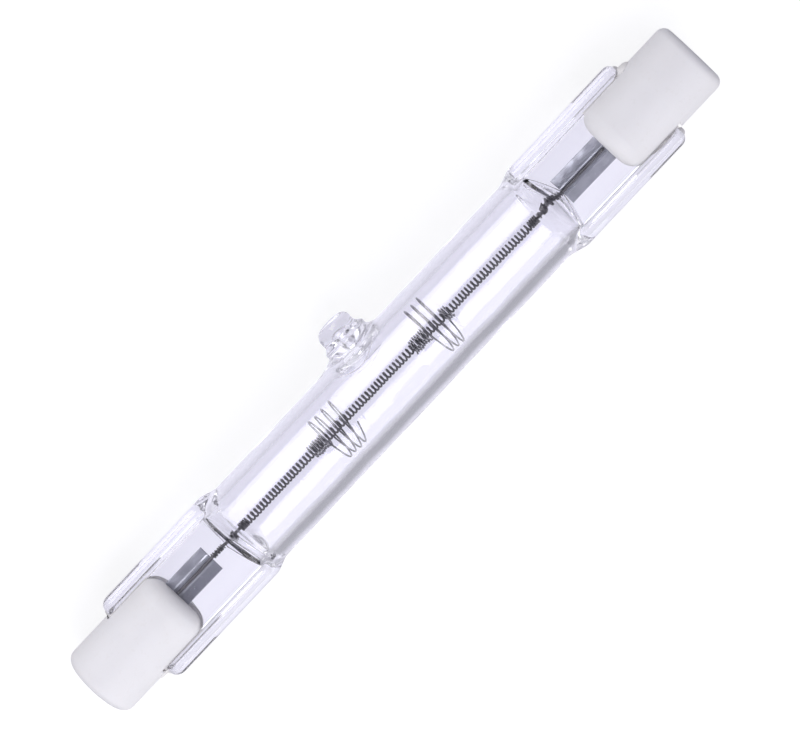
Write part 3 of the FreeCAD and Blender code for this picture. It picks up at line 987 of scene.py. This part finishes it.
    def tip_hollow(self, parts: MeshParts) -> None:
        """Adds the hollow that stays in the melted stub, a lumpy surface of revolution about Y.

        Args:
            parts: Where the surface goes, with its faces towards the gas.
        """
        rows, count = 36, 40
        rise = np.linspace(0, math.pi, rows)[:, None]
        angle = full_turn(count)
        depth = self.tip_hollow_depth - self.tip_hollow_half_length * np.cos(rise)
        radius = self.tip_hollow_radius * np.sin(rise) ** 0.75 * (1 - 0.18 * np.cos(rise))
        radius = radius * (1 + 0.10 * np.sin(2 * angle + 2.2 * depth) + 0.06 * np.sin(3 * angle - 3.1 * depth))
        x = radius * np.cos(angle) + self.tip_offset + 0.06 * np.sin(2 * depth)
        parts.add(grid(x, -depth, radius * np.sin(angle)), sheet_faces(rows, count), flip=True)

    def build(self) -> bpy.types.Object:
        """Makes the envelope and puts it in place of its CAD node."""
        parts = MeshParts()
        self.outer_skin(parts)
        self.gas_space(parts)
        self.tip_hollow(parts)
        piece = parts.make("quartz_glass", QuartzFinish().material(), merge=0.0005)
        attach(piece, ROOT)
        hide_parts("quartz_envelope")
        return piece


@dataclass(frozen=True)
class FilamentLine:
    """The filament with its inner leads' place: one line at a small angle to the tube."""

    angle: float = 0.45
    pivot: float = 25.0

    def lay(self, points: np.ndarray) -> np.ndarray:
        """Turns points about Z round the pivot at the left end, as the mounted line lies."""
        a = -math.radians(self.angle)
        turn = np.array([[math.cos(a), -math.sin(a), 0], [math.sin(a), math.cos(a), 0], [0, 0, 1]])
        pivot = np.array([-self.pivot, 0, 0])
        return (points - pivot) @ turn.T + pivot


LINE = FilamentLine()


@dataclass
class TungstenFilament:
    """The coiled filament, close wound at both ends where it grips the inner leads."""

    wire_radius: float = 0.095
    coil_radius: float = 0.35
    pitch: float = 0.405
    close_pitch: float = 0.22
    close_length: float = 1.2
    half_length: float = 19.62
    towards_right: float = 0.25
    turn_lean: float = 0.075
    widening_turns: float = 0.8
    slow_unevenness: float = 0.035
    quick_unevenness: float = 0.025
    points_in_turn: int = 20

    def path(self) -> np.ndarray:
        """Centre line of the wire: a helix whose pitch widens away from the close ends.

        A sine of the angle is added to X. It gathers each open turn's advance on the +Y side, and
        the rest of the turn runs nearly straight across.

        Returns:
            Points of shape (n, 3).
        """
        close_turns = self.close_length / self.close_pitch
        open_turns = 2 * (self.half_length - self.close_length) / self.pitch
        turns = 2 * close_turns + open_turns
        turn = np.linspace(0, turns, int(turns * self.points_in_turn) + 1)
        edge = np.minimum(turn, turns - turn) - close_turns
        pitch = self.close_pitch + (self.pitch - self.close_pitch) * eased(edge / self.widening_turns + 0.5)
        slow = self.slow_unevenness * np.sin(turn * 0.43) * eased(edge / 3)
        pitch = pitch * (1 + slow + self.quick_unevenness * np.sin(turn * 1.13 + 1))
        x = wound_length(turn, pitch)
        x = (x / x[-1] * 2 - 1) * self.half_length + self.towards_right
        angle = 2 * math.pi * turn
        x = x + self.turn_lean * np.sin(angle) * eased(edge / 1.5)
        return LINE.lay(grid(x, self.coil_radius * np.cos(angle), self.coil_radius * np.sin(angle)))

    def build(self, material: bpy.types.Material) -> bpy.types.Object:
        """Makes the filament in place of its CAD node.

        Args:
            material: The tungsten finish.

        Returns:
            The new piece.
        """
        parts = MeshParts()
        wire(parts, self.path(), self.wire_radius)
        piece = parts.make("tungsten_filament", material)
        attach(piece, ROOT)
        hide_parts("filament_coil")
        return piece


class SupportKind(Enum):
    """Whether a support's wide spiral ends free or grips the filament again."""

    SINGLE = "single_spiral_support"
    DOUBLE = "double_spiral_support"


@dataclass
class SpiralSupport:
    """Support wire: close turns on the filament and wide turns that reach for the tube's wall.

    It is wound towards -X from its start. Its wide turns lean ever more, because the wire springs
    back when it is let go.
    """

    kind: SupportKind
    start: float
    grip_turns: float
    wide_turns: float
    wide_radius: float
    first_angle: float
    wide_pitch: float
    pitch_growth: float
    lean: tuple[float, float, float]
    aside: float
    far_grip_turns: float = 0.0
    wire_radius: float = 0.08
    grip_radius: float = 0.68
    grip_pitch: float = 0.254
    ramp_turns: float = 0.5
    wide_unevenness: float = 0.018
    grip_unevenness: float = 0.08
    points_in_turn: int = 40

    def path(self) -> np.ndarray:
        """Centre line of the wire: a helix whose radius and pitch change from stretch to stretch.

        The lean moves each point along X by the cosine of its angle times a parabola of the wide
        turns wound so far.

        Returns:
            Points of shape (n, 3).
        """
        total = self.grip_turns + self.ramp_turns + self.wide_turns
        if self.far_grip_turns:
            total += self.ramp_turns + self.far_grip_turns
        turn = np.linspace(0, total, int(total * self.points_in_turn))
        rise = eased((turn - self.grip_turns) / self.ramp_turns)
        fall_at = self.grip_turns + self.ramp_turns + self.wide_turns
        fall = eased((turn - fall_at) / self.ramp_turns) if self.far_grip_turns else 0 * turn
        out = rise * (1 - fall)
        wound = np.clip(turn - self.grip_turns - self.ramp_turns, 0, self.wide_turns)
        angle = 2 * math.pi * turn + math.radians(self.first_angle)
        radius = self.grip_radius + (self.wide_radius - self.grip_radius) * out
        radius = radius * (1 + out * self.wide_unevenness * np.sin(2.1 * turn)
                           - (1 - out) * self.grip_unevenness * np.sin(1.7 * turn))
        pitch = self.grip_pitch + (self.wide_pitch + self.pitch_growth * wound - self.grip_pitch) * out
        x = wound_length(turn, pitch)
        leant = (self.lean[0] + self.lean[1] * wound + self.lean[2] * wound**2) * out * np.cos(angle)
        y = radius * np.cos(angle) - self.aside * out
        points = grid(self.start + x - leant, y, radius * np.sin(angle))
        return LINE.lay(points * [-1, -1, 1])

    def build(self, material: bpy.types.Material) -> bpy.types.Object:
        """Makes the support in place of its CAD node.

        Args:
            material: The tungsten finish.

        Returns:
            The new piece.
        """
        parts = MeshParts()
        wire(parts, self.path(), self.wire_radius, sides=10)
        piece = parts.make(self.kind.value + "_wire", material)
        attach(piece, ROOT)
        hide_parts(self.kind.value)
        return piece


@dataclass
class SealedLead:
    """What carries the current through one seal: inner lead, its fine coil, foil and outer lead."""

    end: End
    lead_start: float
    foil_start: float
    foil_crown: float
    foil_lean: float
    wrap_start: float
    wrap_pitch: float
    wrap_wire_radius: float
    foil_end: float = 31.35
    foil_half_width: float = 1.4
    foil_thickness: float = 0.03
    foil_level: float = -0.227
    foil_edge_half: float = 0.001
    crease_height: float = 0.03
    crease_marks: tuple[tuple[float, float], ...] = ((0.17, 0.05), (-0.3, 0.06))
    lead_radius: float = 0.15
    lead_drop: float = 0.077
    lead_bow: float = 0.02
    weld_length: float = 5.4
    wrap_gap: float = 0.02
    wrap_unevenness: float = 0.12
    points_in_turn: int = 24

    def foil(self, material: bpy.types.Material) -> bpy.types.Object:
        """Foil as a thin closed strip, etched to a knife edge at both sides and creased along.

        Its height across is a crown, a parabola, plus a lean and narrow creases beside the lead,
        each marked by its place and width as shares of the half width. Faint ripples run across it.

        Args:
            material: The foil's finish.

        Returns:
            The new piece.
        """
        along = np.linspace(0, 1, 90)[:, None]
        across = np.linspace(-1, 1, 65)[None]
        x = self.foil_start + (self.foil_end - self.foil_start) * along
        y = self.foil_half_width * across
        creases = sum(np.exp(-(((across - place) / width) ** 2)) for place, width in self.crease_marks)
        ripple = 0.010 * np.sin(17 * along + 3 * across) + 0.006 * np.sin(41 * along - 5 * across)
        z = self.foil_level - self.foil_crown * across**2 + self.foil_lean * across
        z = z + self.crease_height * creases + ripple * np.abs(across)
        half = self.foil_thickness / 2 * np.sqrt(np.clip(1 - across**2, 0.0, 1)) + self.foil_edge_half
        rings = np.concatenate([grid(x, y, z + half), grid(x, y, z - half)[:, ::-1]], axis=1)
        parts = MeshParts()
        rows, count = rings.shape[:2]
        first = parts.add(LINE.lay(self.end.turn(rings)), sheet_faces(rows, count), flip=True)
        for row, flip in ((0, False), (rows - 1, True)):
            ring = first + row * count
            k = np.arange(across.size - 1)
            quads = np.stack([ring + k, ring + k + 1, ring + count - 2 - k, ring + count - 1 - k], -1)
            parts.join(quads, flip)
        piece = parts.make(f"foil_strip_{self.end.tag}", material)
        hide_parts(f"molybdenum_foil_{self.end.tag}")
        return piece

    def inner_lead(self, material: bpy.types.Material) -> bpy.types.Object:
        """Inner lead as a round rod, very slightly bowed.

        Args:
            material: The tungsten finish.

        Returns:
            The new piece.
        """
        parts = MeshParts()
        x = np.linspace(self.lead_start, self.foil_start + self.weld_length, 60)
        rod = grid(x, self.lead_bow * np.sin(0.8 * x), -self.lead_drop)
        wire(parts, LINE.lay(self.end.turn(rod)), self.lead_radius, sides=16)
        piece = parts.make(f"inner_lead_rod_{self.end.tag}", material)
        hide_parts(f"inner_lead_{self.end.tag}")
        return piece

    def lead_wrap(self, material: bpy.types.Material) -> bpy.types.Object:
        """Fine coil on the inner lead where it enters the seal.

        Args:
            material: The tungsten finish.

        Returns:
            The new piece.
        """
        turns = (self.foil_start - 0.12 - self.wrap_start) / self.wrap_pitch
        turn = np.linspace(0, turns, int(turns * self.points_in_turn))
        angle = 2 * math.pi * turn
        x = self.wrap_start + self.wrap_pitch * (turn + self.wrap_unevenness * np.sin(turn * 1.9))
        radius = self.lead_radius + self.wrap_gap + self.wrap_wire_radius
        coil = grid(x, radius * np.cos(angle), radius * np.sin(angle) - self.lead_drop)
        parts = MeshParts()
        wire(parts, LINE.lay(self.end.turn(coil)), self.wrap_wire_radius)
        piece = parts.make(f"lead_coil_{self.end.tag}", material)
        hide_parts(f"lead_wrap_{self.end.tag}")
        return piece

    def build(self, tungsten: bpy.types.Material, foil: bpy.types.Material, lead: bpy.types.Material
              ) -> list[bpy.types.Object]:
        """Makes this end's pieces and gives its outer lead, which keeps its CAD shape, a finish.

        Args:
            tungsten: Finish of the inner lead and its fine coil.
            foil: Finish of the foil.
            lead: Finish of the outer lead.

        Returns:
            The new pieces.
        """
        pieces = [self.foil(foil), self.inner_lead(tungsten), self.lead_wrap(tungsten)]
        for piece in pieces:
            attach(piece, ROOT)
        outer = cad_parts[f"outer_lead_{self.end.tag}"]
        outer.data.materials.clear()
        outer.data.materials.append(lead)
        return pieces


@dataclass
class CeramicCap:
    """Round ceramic cap, slotted for the seal, with a recess in its face for the contact."""

    end: End
    radius: float = 3.7
    face: float = 39.15
    inner_face: float = 27.75
    face_radius: float = 0.9
    inner_radius: float = 1.6
    slot_bottom: float = 33.75
    slot_half_height: float = 1.25
    slot_edge: float = 0.22
    recess_radius: float = 2.0
    recess_floor: float = 37.45
    recess_chamfer: float = 0.3
    seat_radius: float = 1.72
    seat: float = 36.95
    hole_radius: float = 0.82
    head_radius: float = 1.7
    shank_radius: float = 0.8
    shank_end: float = 34.05
    lead_hole_radius: float = 0.32
    lead_hole_end: float = 36.57
    meeting_length: float = 0.35
    rim_end: float = 33.35
    bead_share: float = 0.4

    def ear_limits(self, angle: np.ndarray) -> tuple[np.ndarray, np.ndarray]:
        """Radii between which an ear's section lies along each spoke from the axis.

        An ear is the part of a disc beyond the slot's wall, with its two sharp corners rounded by a
        small circle. Near a corner both radii are where the spoke cuts that circle.

        Args:
            angle: Angle of each spoke from +Y.

        Returns:
            Inner and outer radius of each spoke, both the cap's own radius where no ear is.
        """
        level, reach = self.slot_half_height + self.slot_edge, self.radius - self.slot_edge
        across = math.sqrt(reach**2 - level**2)
        folded = np.arcsin(np.abs(np.sin(angle)))
        off = math.atan2(level, across) - folded
        under = np.sqrt(np.clip(self.slot_edge**2 - (reach * np.sin(off)) ** 2, 0, None))
        wall = self.slot_half_height / np.sin(folded).clip(0.05)
        inner = np.where(folded < math.atan2(self.slot_half_height, across), reach * np.cos(off) - under, wall)
        outer = np.where(off > 0, reach * np.cos(off) + under, self.radius)
        bare = folded < self.ear_start() - 1e-6
        return np.where(bare, self.radius, inner), np.where(bare, self.radius, outer)

    def ear_start(self) -> float:
        """Angle from the slot's middle at which a spoke first touches an ear's rounded corner."""
        level, reach = self.slot_half_height + self.slot_edge, self.radius - self.slot_edge
        return math.asin(level / reach) - math.asin(self.slot_edge / reach)

    def inner_end(self, radius: np.ndarray) -> np.ndarray:
        """Place along X of the rounded inner end at each radius: flat, then a quarter circle."""
        beyond = np.clip(radius - (self.radius - self.inner_radius), 0, None)
        return self.inner_face + self.inner_radius - np.sqrt(self.inner_radius**2 - beyond**2)

    def spokes(self) -> tuple[np.ndarray, int]:
        """Angles of the spokes, close together at the ears' corners and even elsewhere.

        Returns:
            The angles from +Y once round, and the number of spokes on one ear.
        """
        start = self.ear_start()
        near = start + np.radians([0, 0.12, 0.35, 0.8, 1.5, 2.4, 3.3, 4.3])
        ear = np.concatenate([near, np.linspace(start + math.radians(7), math.pi / 2, 22)])
        ear = np.concatenate([ear, math.pi - ear[-2::-1]])
        gap = np.linspace(math.pi - start, math.pi + start, 14)[1:-1]
        half = np.concatenate([ear, gap])
        return np.concatenate([half, half + math.pi]), len(ear)

    def front_profile(self) -> np.ndarray:
        """Run from beside the slot's bottom over the face and through the recess to the hole."""
        return softened([
            (self.slot_bottom + self.meeting_length, self.radius, 0), (self.face, self.radius, self.face_radius),
            (self.face, self.recess_radius + self.recess_chamfer, 0.22),
            (self.face - self.recess_chamfer, self.recess_radius, 0.22),
            (self.recess_floor, self.recess_radius, 0.08), (self.recess_floor, self.seat_radius, 0.02),
            (self.seat, self.seat_radius, 0.02), (self.seat, self.hole_radius, 0.05),
            (self.slot_bottom, self.hole_radius, 0.0),
        ], steps=12)[1:-1]

    def ceramic(self, material: bpy.types.Material) -> bpy.types.Object:
        """Cap as one grid: each spoke from the axis gives a closed run round the wall.

        A run goes down the hole, out over the slot's bottom, along the slot's wall, out over the
        rounded inner end, back along the side and over the face into the recess. Beside the ears
        the runs turn up at the slot's bottom, and the faces that would be folded flat are left out.

        Args:
            material: Finish of the cap.

        Returns:
            The new piece.
        """
        angle, on_ear = self.spokes()
        inner, outer = self.ear_limits(angle)
        bare = inner >= self.radius - 1e-9
        wall_end = np.where(bare, self.slot_bottom, self.inner_end(inner))
        side_start = np.where(bare, self.slot_bottom, self.inner_end(outer))

        def share(count: int) -> np.ndarray:
            """As many even shares up to 1 as counted, as a column."""
            return np.linspace(0, 1, count + 1)[1:, None]

        bottom, wall, tip, side, meeting = 8, 32, 13, 32, 6
        over_tip = inner + (outer - inner) * share(tip)
        front = self.front_profile()
        stretches = (
            (self.slot_bottom, self.hole_radius * share(1)),
            (self.slot_bottom, self.hole_radius + (inner - self.hole_radius) * share(bottom)),
            (self.slot_bottom + (wall_end - self.slot_bottom) * share(wall), inner),
            (np.where(bare, self.slot_bottom, self.inner_end(over_tip)), over_tip),
            (side_start + (self.slot_bottom - side_start) * share(side), outer),
            (self.slot_bottom + self.meeting_length * share(meeting),
             outer + (self.radius - outer) * eased(share(meeting))),
            (front[:, :1], front[:, 1:]),
        )
        points = np.concatenate([grid(x, radius * np.cos(angle), radius * np.sin(angle)) for x, radius in stretches])
        rows, columns = points.shape[:2]
        faces = sheet_faces(rows, columns)
        closing = sheet_faces(2, columns)
        closing = np.where(closing >= columns, closing - columns, closing + (rows - 1) * columns)
        row, column = faces[:, 0] // columns, faces[:, 0] % columns % (columns // 2)
        folded = (row >= bottom) & (row < bottom + wall + tip + side) & (column >= on_ear - 1)
        parts = MeshParts()
        parts.add(self.end.turn(points), faces[~folded], closing)
        piece = parts.make(f"ceramic_body_{self.end.tag}", material, merge=0.001, crease=38)
        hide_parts(f"ceramic_cap_{self.end.tag}")
        return piece

    def contact(self, material: bpy.types.Material) -> bpy.types.Object:
        """Contact as a surface of revolution: low domed head with a ring mark, and hollow shank.

        Args:
            material: Finish of the contact.

        Returns:
            The new piece.
        """
        profile = softened([
            (self.lead_hole_end, 0, 0), (self.lead_hole_end, self.lead_hole_radius, 0.03),
            (self.shank_end, self.lead_hole_radius, 0.04), (self.shank_end, self.shank_radius, 0.06),
            (self.seat, self.shank_radius, 0.04), (self.seat, self.head_radius, 0.08),
            (self.recess_floor - 0.09, self.head_radius, 0.12), (self.recess_floor - 0.03, 1.3, 0.3),
            (self.recess_floor - 0.09, 1.1, 0.1), (self.recess_floor, 0.9, 0.3), (self.recess_floor, 0, 0),
        ], steps=9)
        points = turned(profile, columns=72)
        parts = MeshParts()
        parts.add(self.end.turn(points), sheet_faces(*points.shape[:2]))
        piece = parts.make(f"contact_rivet_{self.end.tag}", material, merge=0.001, crease=38)
        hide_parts(f"contact_button_{self.end.tag}")
        return piece

    def set_cement(self, material: bpy.types.Material) -> bpy.types.Object:
        """Cement in the slot: the CAD node's shape, with its beads pushed up against the rims.

        Beyond the seal's end each point's distance along X shrinks to a share, and two sines
        make the beads lumpy there.

        Args:
            material: Finish of the cement.

        Returns:
            The new piece.
        """
        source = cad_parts[f"cap_cement_{self.end.tag}"].data
        source.calc_loop_triangles()
        places = np.empty(len(source.vertices) * 3)
        source.vertices.foreach_get("co", places)
        corners = np.empty(len(source.loop_triangles) * 3, dtype=np.int32)
        source.loop_triangles.foreach_get("vertices", corners)
        points = BENCH.unroll(places.reshape(-1, 3))
        past = np.clip(np.abs(points[:, 0]) - self.rim_end, 0, None)
        wobble = 1 + 0.2 * np.sin(5 * points[:, 1] + 1.3 * self.end.value) + 0.15 * np.sin(7 * points[:, 2] + 0.5)
        points[:, 0] -= np.sign(points[:, 0]) * past * (1 - self.bead_share * wobble)
        parts = MeshParts()
        parts.add(points, corners.reshape(-1, 3))
        piece = parts.make(f"set_cement_{self.end.tag}", material, merge=0.0005, crease=35)
        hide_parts(f"cap_cement_{self.end.tag}")
        return piece

    def build(self, ceramic: bpy.types.Material, nickel: bpy.types.Material, cement: bpy.types.Material
              ) -> list[bpy.types.Object]:
        """Makes this end's cap, contact and cement.

        Args:
            ceramic: Finish of the cap.
            nickel: Finish of the contact.
            cement: Finish of the cement.

        Returns:
            The new pieces.
        """
        pieces = [self.ceramic(ceramic), self.contact(nickel), self.set_cement(cement)]
        for piece in pieces:
            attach(piece, ROOT)
        return pieces


@dataclass(frozen=True)
class CementBead:
    """Lump of cement that was squeezed out between a rim and its cap."""

    name: str
    middle: tuple[float, float, float]
    half_size: tuple[float, float, float]
    phase: float

    def build(self, material: bpy.types.Material) -> bpy.types.Object:
        """Makes the bead: an ellipsoid whose radius swells and shrinks by three sines.

        Args:
            material: Finish of the cement.

        Returns:
            The new piece.
        """
        rows, count = 40, 56
        rise = np.linspace(0, math.pi, rows)[:, None]
        angle = full_turn(count)
        lump = 1 + np.sin(rise) * (0.07 * np.sin(2 * angle + self.phase) + 0.04 * np.sin(3 * angle - 3 * rise)
                                   + 0.02 * np.sin(5 * angle + 4 * rise + self.phase))
        unit = grid(-np.cos(rise), np.sin(rise) * np.cos(angle), np.sin(rise) * np.sin(angle))
        parts = MeshParts()
        parts.add(unit * lump[..., None] * self.half_size + self.middle, sheet_faces(rows, count))
        piece = parts.make(self.name, material, merge=0.0005)
        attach(piece, ROOT)
        return piece


@dataclass(frozen=True)
class SoftLamp:
    """Long soft lamp that spans two angles across the tube, seen from the lamp's middle.

    The angles are in degrees from the seals' normal, positive to +Y. Places are in metres, and the
    distance is that of the lamp's two long edges.
    """

    name: str
    near_angle: float
    far_angle: float
    length: float
    along: float
    radiance: float
    distance: float = 0.35

    def build(self) -> bpy.types.Object:
        """Makes the lamp, facing the bulb.

        Returns:
            The lamp object.
        """
        edges = np.radians([self.near_angle, self.far_angle])
        ends = grid(0.0, np.sin(edges), np.cos(edges)) * self.distance
        low, high = BENCH.turn(ends)
        width = float(np.linalg.norm(high - low))
        data = bpy.data.lights.new(self.name, "AREA")
        data.shape = "RECTANGLE"
        data.size, data.size_y = self.length, width
        data.energy = self.radiance * math.pi * self.length * width
        lamp = new_object(self.name, data)
        facing = Vector((low + high) / 2)
        side = Vector((1, 0, 0))
        outward = facing.normalized()
        matrix = Matrix((side, outward.cross(side).normalized(), outward)).transposed().to_4x4()
        matrix.translation = facing + side * self.along
        lamp.matrix_world = matrix
        lamp.visible_camera = False
        return lamp


@dataclass
class Studio:
    """Pale floor, three soft lamps over the bulb, the world and the camera of the photograph."""

    floor_level: float = -4.44
    floor_half_width: float = 0.45
    centre_u: float = 476.1
    centre_v: float = 129.7
    scale: float = 11.17
    distance: float = 320.0
    tilt: float = math.radians(5.9)
    view_turn: float = math.radians(46.682)
    floor_colour: Colour = (0.32, 0.32, 0.33)
    floor_shown: float = 0.78
    # Colour and fade of the floor's glow as glass and metal see it: darker and bluer than the camera's white and
    # fading away from the bulb, painted shade round the bulb.
    floor_in_glass: Colour = (0.68, 0.67, 0.765)
    glow_middle: float = 0.0004
    glow_near: float = 0.0036
    glow_far: float = 0.0118
    glow_left: float = 0.2
    world_gap: Colour = (0.36, 0.36, 0.42)
    bulb_half_length: float = 0.039
    photo_middle: tuple[float, float] = (394.5, 370.5)
    turned_middle: tuple[float, float] = (480.0, 130.0)
    most_bounces: int = 64

    def camera(self) -> bpy.types.Object:
        """Camera of the photograph: it looks down on the seals' flat side, with the left end nearer.

        The lamp's axis leans out of the picture plane by the tilt. In the picture the axis is
        turned from level by the view turn, with the right end low and to the left.

        Returns:
            The camera object.
        """
        c, s = math.cos(self.view_turn), math.sin(self.view_turn)
        ct, st = math.cos(self.tilt), math.sin(self.tilt)
        along = np.array([-ct, 0.0, -st])
        up_across = np.array([0.0, -1.0, 0.0])
        right = c * along - s * up_across
        up = s * along + c * up_across
        back = np.array([-st, 0.0, ct])
        focal = self.scale * self.distance
        past_u, past_v = self.centre_u - self.turned_middle[0], self.centre_v - self.turned_middle[1]
        photo_x = self.photo_middle[0] + past_u * c + past_v * s
        photo_y = self.photo_middle[1] - past_u * s + past_v * c
        off_x = (photo_x - PHOTO_WIDTH / 2) / self.scale
        off_y = (PHOTO_HEIGHT / 2 - photo_y) / self.scale
        place = back * self.distance - right * off_x - up * off_y
        data = bpy.data.cameras.new("photo_camera")
        data.sensor_width = 36.0
        data.lens = data.sensor_width * focal / PHOTO_WIDTH
        data.clip_start, data.clip_end = 0.01, 10.0
        camera = new_object("photo_camera", data)
        axes = BENCH.turn(np.stack([right, up, back]))
        matrix = Matrix(axes.T.tolist()).to_4x4()
        matrix.translation = Vector(BENCH.place(place))
        camera.matrix_world = matrix
        bpy.context.scene.camera = camera
        return camera

    def floor(self) -> bpy.types.Object:
        """Pale floor: a lit surface that keeps the bulb's shadow, plus a glow.

        The glow brings the unshadowed floor up to white for the camera. In the glass and on metal it
        is a darker pale lavender that fades away from the bulb: painted shade on the floor round the
        bulb. It lights nothing.

        Returns:
            The floor object.
        """
        size, level = self.floor_half_width, self.floor_level * 0.001
        mesh = bpy.data.meshes.new("floor")
        corners = [(-size, -size, level), (size, -size, level), (size, size, level), (-size, size, level)]
        mesh.from_pydata(corners, [], [(0, 1, 2, 3)])
        sketch = MaterialSketch("pale_floor")
        sketch.give({"Base Color": rgba(self.floor_colour), "Roughness": 1.0, "Specular IOR Level": 0.0})
        path = sketch.add("LightPath").outputs
        shown = sketch.add("Emission", {"Color": rgba((self.floor_shown,) * 3), "Strength": path["Is Camera Ray"]})
        through = sketch.calculate("MAXIMUM", path["Is Glossy Ray"], path["Is Transmission Ray"])
        # Painted shade: the glow that glass and metal see fades away from the bulb.
        share = sketch.calculate("MULTIPLY", through, self.table_glow(sketch))
        seen = sketch.add("Emission", {"Color": rgba(self.floor_in_glass), "Strength": share})
        glow = sketch.add("AddShader", {0: shown.outputs["Emission"], 1: seen.outputs["Emission"]})
        lit = sketch.add("AddShader", {0: sketch.shader.outputs["BSDF"], 1: glow.outputs["Shader"]})
        sketch.feed(sketch.output, "Surface", lit.outputs["Shader"])
        mesh.materials.append(sketch.material)
        floor = new_object("floor", mesh)
        return floor

    def table_glow(self, sketch: NodeSketch) -> bpy.types.NodeSocket:
        """Share of the glow at a place on the floor, full near the bulb and less farther off: painted shade that
        darkens the floor the glass and metal show away from the bulb.

        The distance is that from a line beside the bulb's axis, or from the line's nearer end.

        Args:
            sketch: The floor's material.

        Returns:
            Output that gives the share.
        """
        place = sketch.add("TexCoord").outputs["Object"]
        split = sketch.add("SeparateXYZ", {"Vector": place}).outputs
        beyond = sketch.calculate("SUBTRACT", sketch.calculate("ABSOLUTE", split["X"]), self.bulb_half_length)
        past_end = sketch.calculate("MAXIMUM", beyond, 0.0)
        across = sketch.calculate("SUBTRACT", split["Y"], self.glow_middle)
        join = sketch.add("CombineXYZ", {"X": past_end, "Y": across}).outputs["Vector"]
        length = sketch.add("VectorMath", {0: join}, operation="LENGTH").outputs["Value"]
        # Painted shade: the glow that glass and metal see fades from full beside the bulb to glow_left farther off.
        return sketch.spread(length, self.glow_near, self.glow_far, 1.0, self.glow_left, soft=True)

    def world(self) -> None:
        """World that is white to the camera and soft grey lavender to everything else."""
        world = bpy.data.worlds.new("studio")
        world.use_nodes = True
        sketch = NodeSketch(world.node_tree)
        sketch.tree.nodes.clear()
        shown = sketch.add("Background", {"Color": rgba((1.0, 1.0, 1.0))}).outputs["Background"]
        room = sketch.add("Background", {"Color": rgba(self.world_gap)}).outputs["Background"]
        camera_ray = sketch.add("LightPath").outputs["Is Camera Ray"]
        mix = sketch.add("MixShader", {"Fac": camera_ray, 1: room, 2: shown}).outputs["Shader"]
        sketch.add("OutputWorld", {"Surface": mix})
        bpy.context.scene.world = world

    def build(self) -> None:
        """Sets up the floor, lamps, world, camera and colour view, and lets light pass the glass."""
        self.floor()
        SoftLamp("lamp_front", near_angle=-22, far_angle=-94, length=0.17, along=0.046, radiance=4.0).build()
        SoftLamp("lamp_back", near_angle=28, far_angle=67, length=0.4, along=0.19, radiance=1.5).build()
        SoftLamp("lamp_side", near_angle=67, far_angle=96, length=0.7, along=0.05, radiance=2.1).build()
        self.world()
        self.camera()
        scene = bpy.context.scene
        scene.view_settings.view_transform = "Standard"
        scene.cycles.max_bounces = self.most_bounces
        scene.cycles.transmission_bounces = self.most_bounces
        scene.cycles.glossy_bounces = self.most_bounces


def main() -> None:
    """Builds the studio and every piece of the bulb, in the order of its making."""
    Studio().build()
    tungsten, foil, lead = TUNGSTEN.material(), MOLYBDENUM_FOIL.material(), LEAD_METAL.material()
    ceramic, nickel, cement = CAP_CERAMIC.material(), CONTACT_NICKEL.material(), CAP_CEMENT.material()
    pieces = [QuartzEnvelope().build(), TungstenFilament().build(tungsten)]
    supports = (
        SpiralSupport(
            SupportKind.SINGLE, start=-10.1, grip_turns=6.5, wide_turns=3.7, wide_radius=2.43, first_angle=0,
            wide_pitch=0.62, pitch_growth=0.08, lean=(0.09, -0.03, -0.03), aside=0.3,
        ),
        SpiralSupport(
            SupportKind.DOUBLE, start=2.92, grip_turns=7, wide_turns=2.5, wide_radius=2.8, first_angle=180,
            wide_pitch=0.73, pitch_growth=0.0, lean=(0.12, -0.09, 0.0), aside=0.0, far_grip_turns=2.6,
        ),
    )
    bright = SUPPORT_TUNGSTEN.material()
    pieces += [support.build(bright) for support in supports]
    leads = (
        SealedLead(End.RIGHT, lead_start=18.7, foil_start=23.35, foil_crown=0.03, foil_lean=0.01, wrap_start=21.7,
                   wrap_pitch=0.27, wrap_wire_radius=0.07),
        SealedLead(End.LEFT, lead_start=18.2, foil_start=22.15, foil_crown=0.2, foil_lean=0.11, wrap_start=20.0,
                   wrap_pitch=0.42, wrap_wire_radius=0.08),
    )
    for sealed in leads:
        pieces += sealed.build(tungsten, foil, lead) + CeramicCap(sealed.end).build(ceramic, nickel, cement)
    beads = (
        CementBead("cement_bead_left_front", middle=(-33.6, -3.45, 0.55), half_size=(1.05, 0.55, 0.95), phase=0.6),
        CementBead("cement_bead_left_back", middle=(-31.6, 3.62, 0.75), half_size=(1.5, 0.28, 0.6), phase=2.1),
        CementBead("cement_bead_right_back", middle=(33.9, 3.62, 0.3), half_size=(0.8, 0.26, 0.65), phase=3.4),
    )
    pieces += [bead.build(cement) for bead in beads]
    log.info("made %s", ", ".join(piece.name for piece in pieces))


if __name__ == "__main__":
    logging.basicConfig(level=logging.INFO, format="%(message)s")
    main()
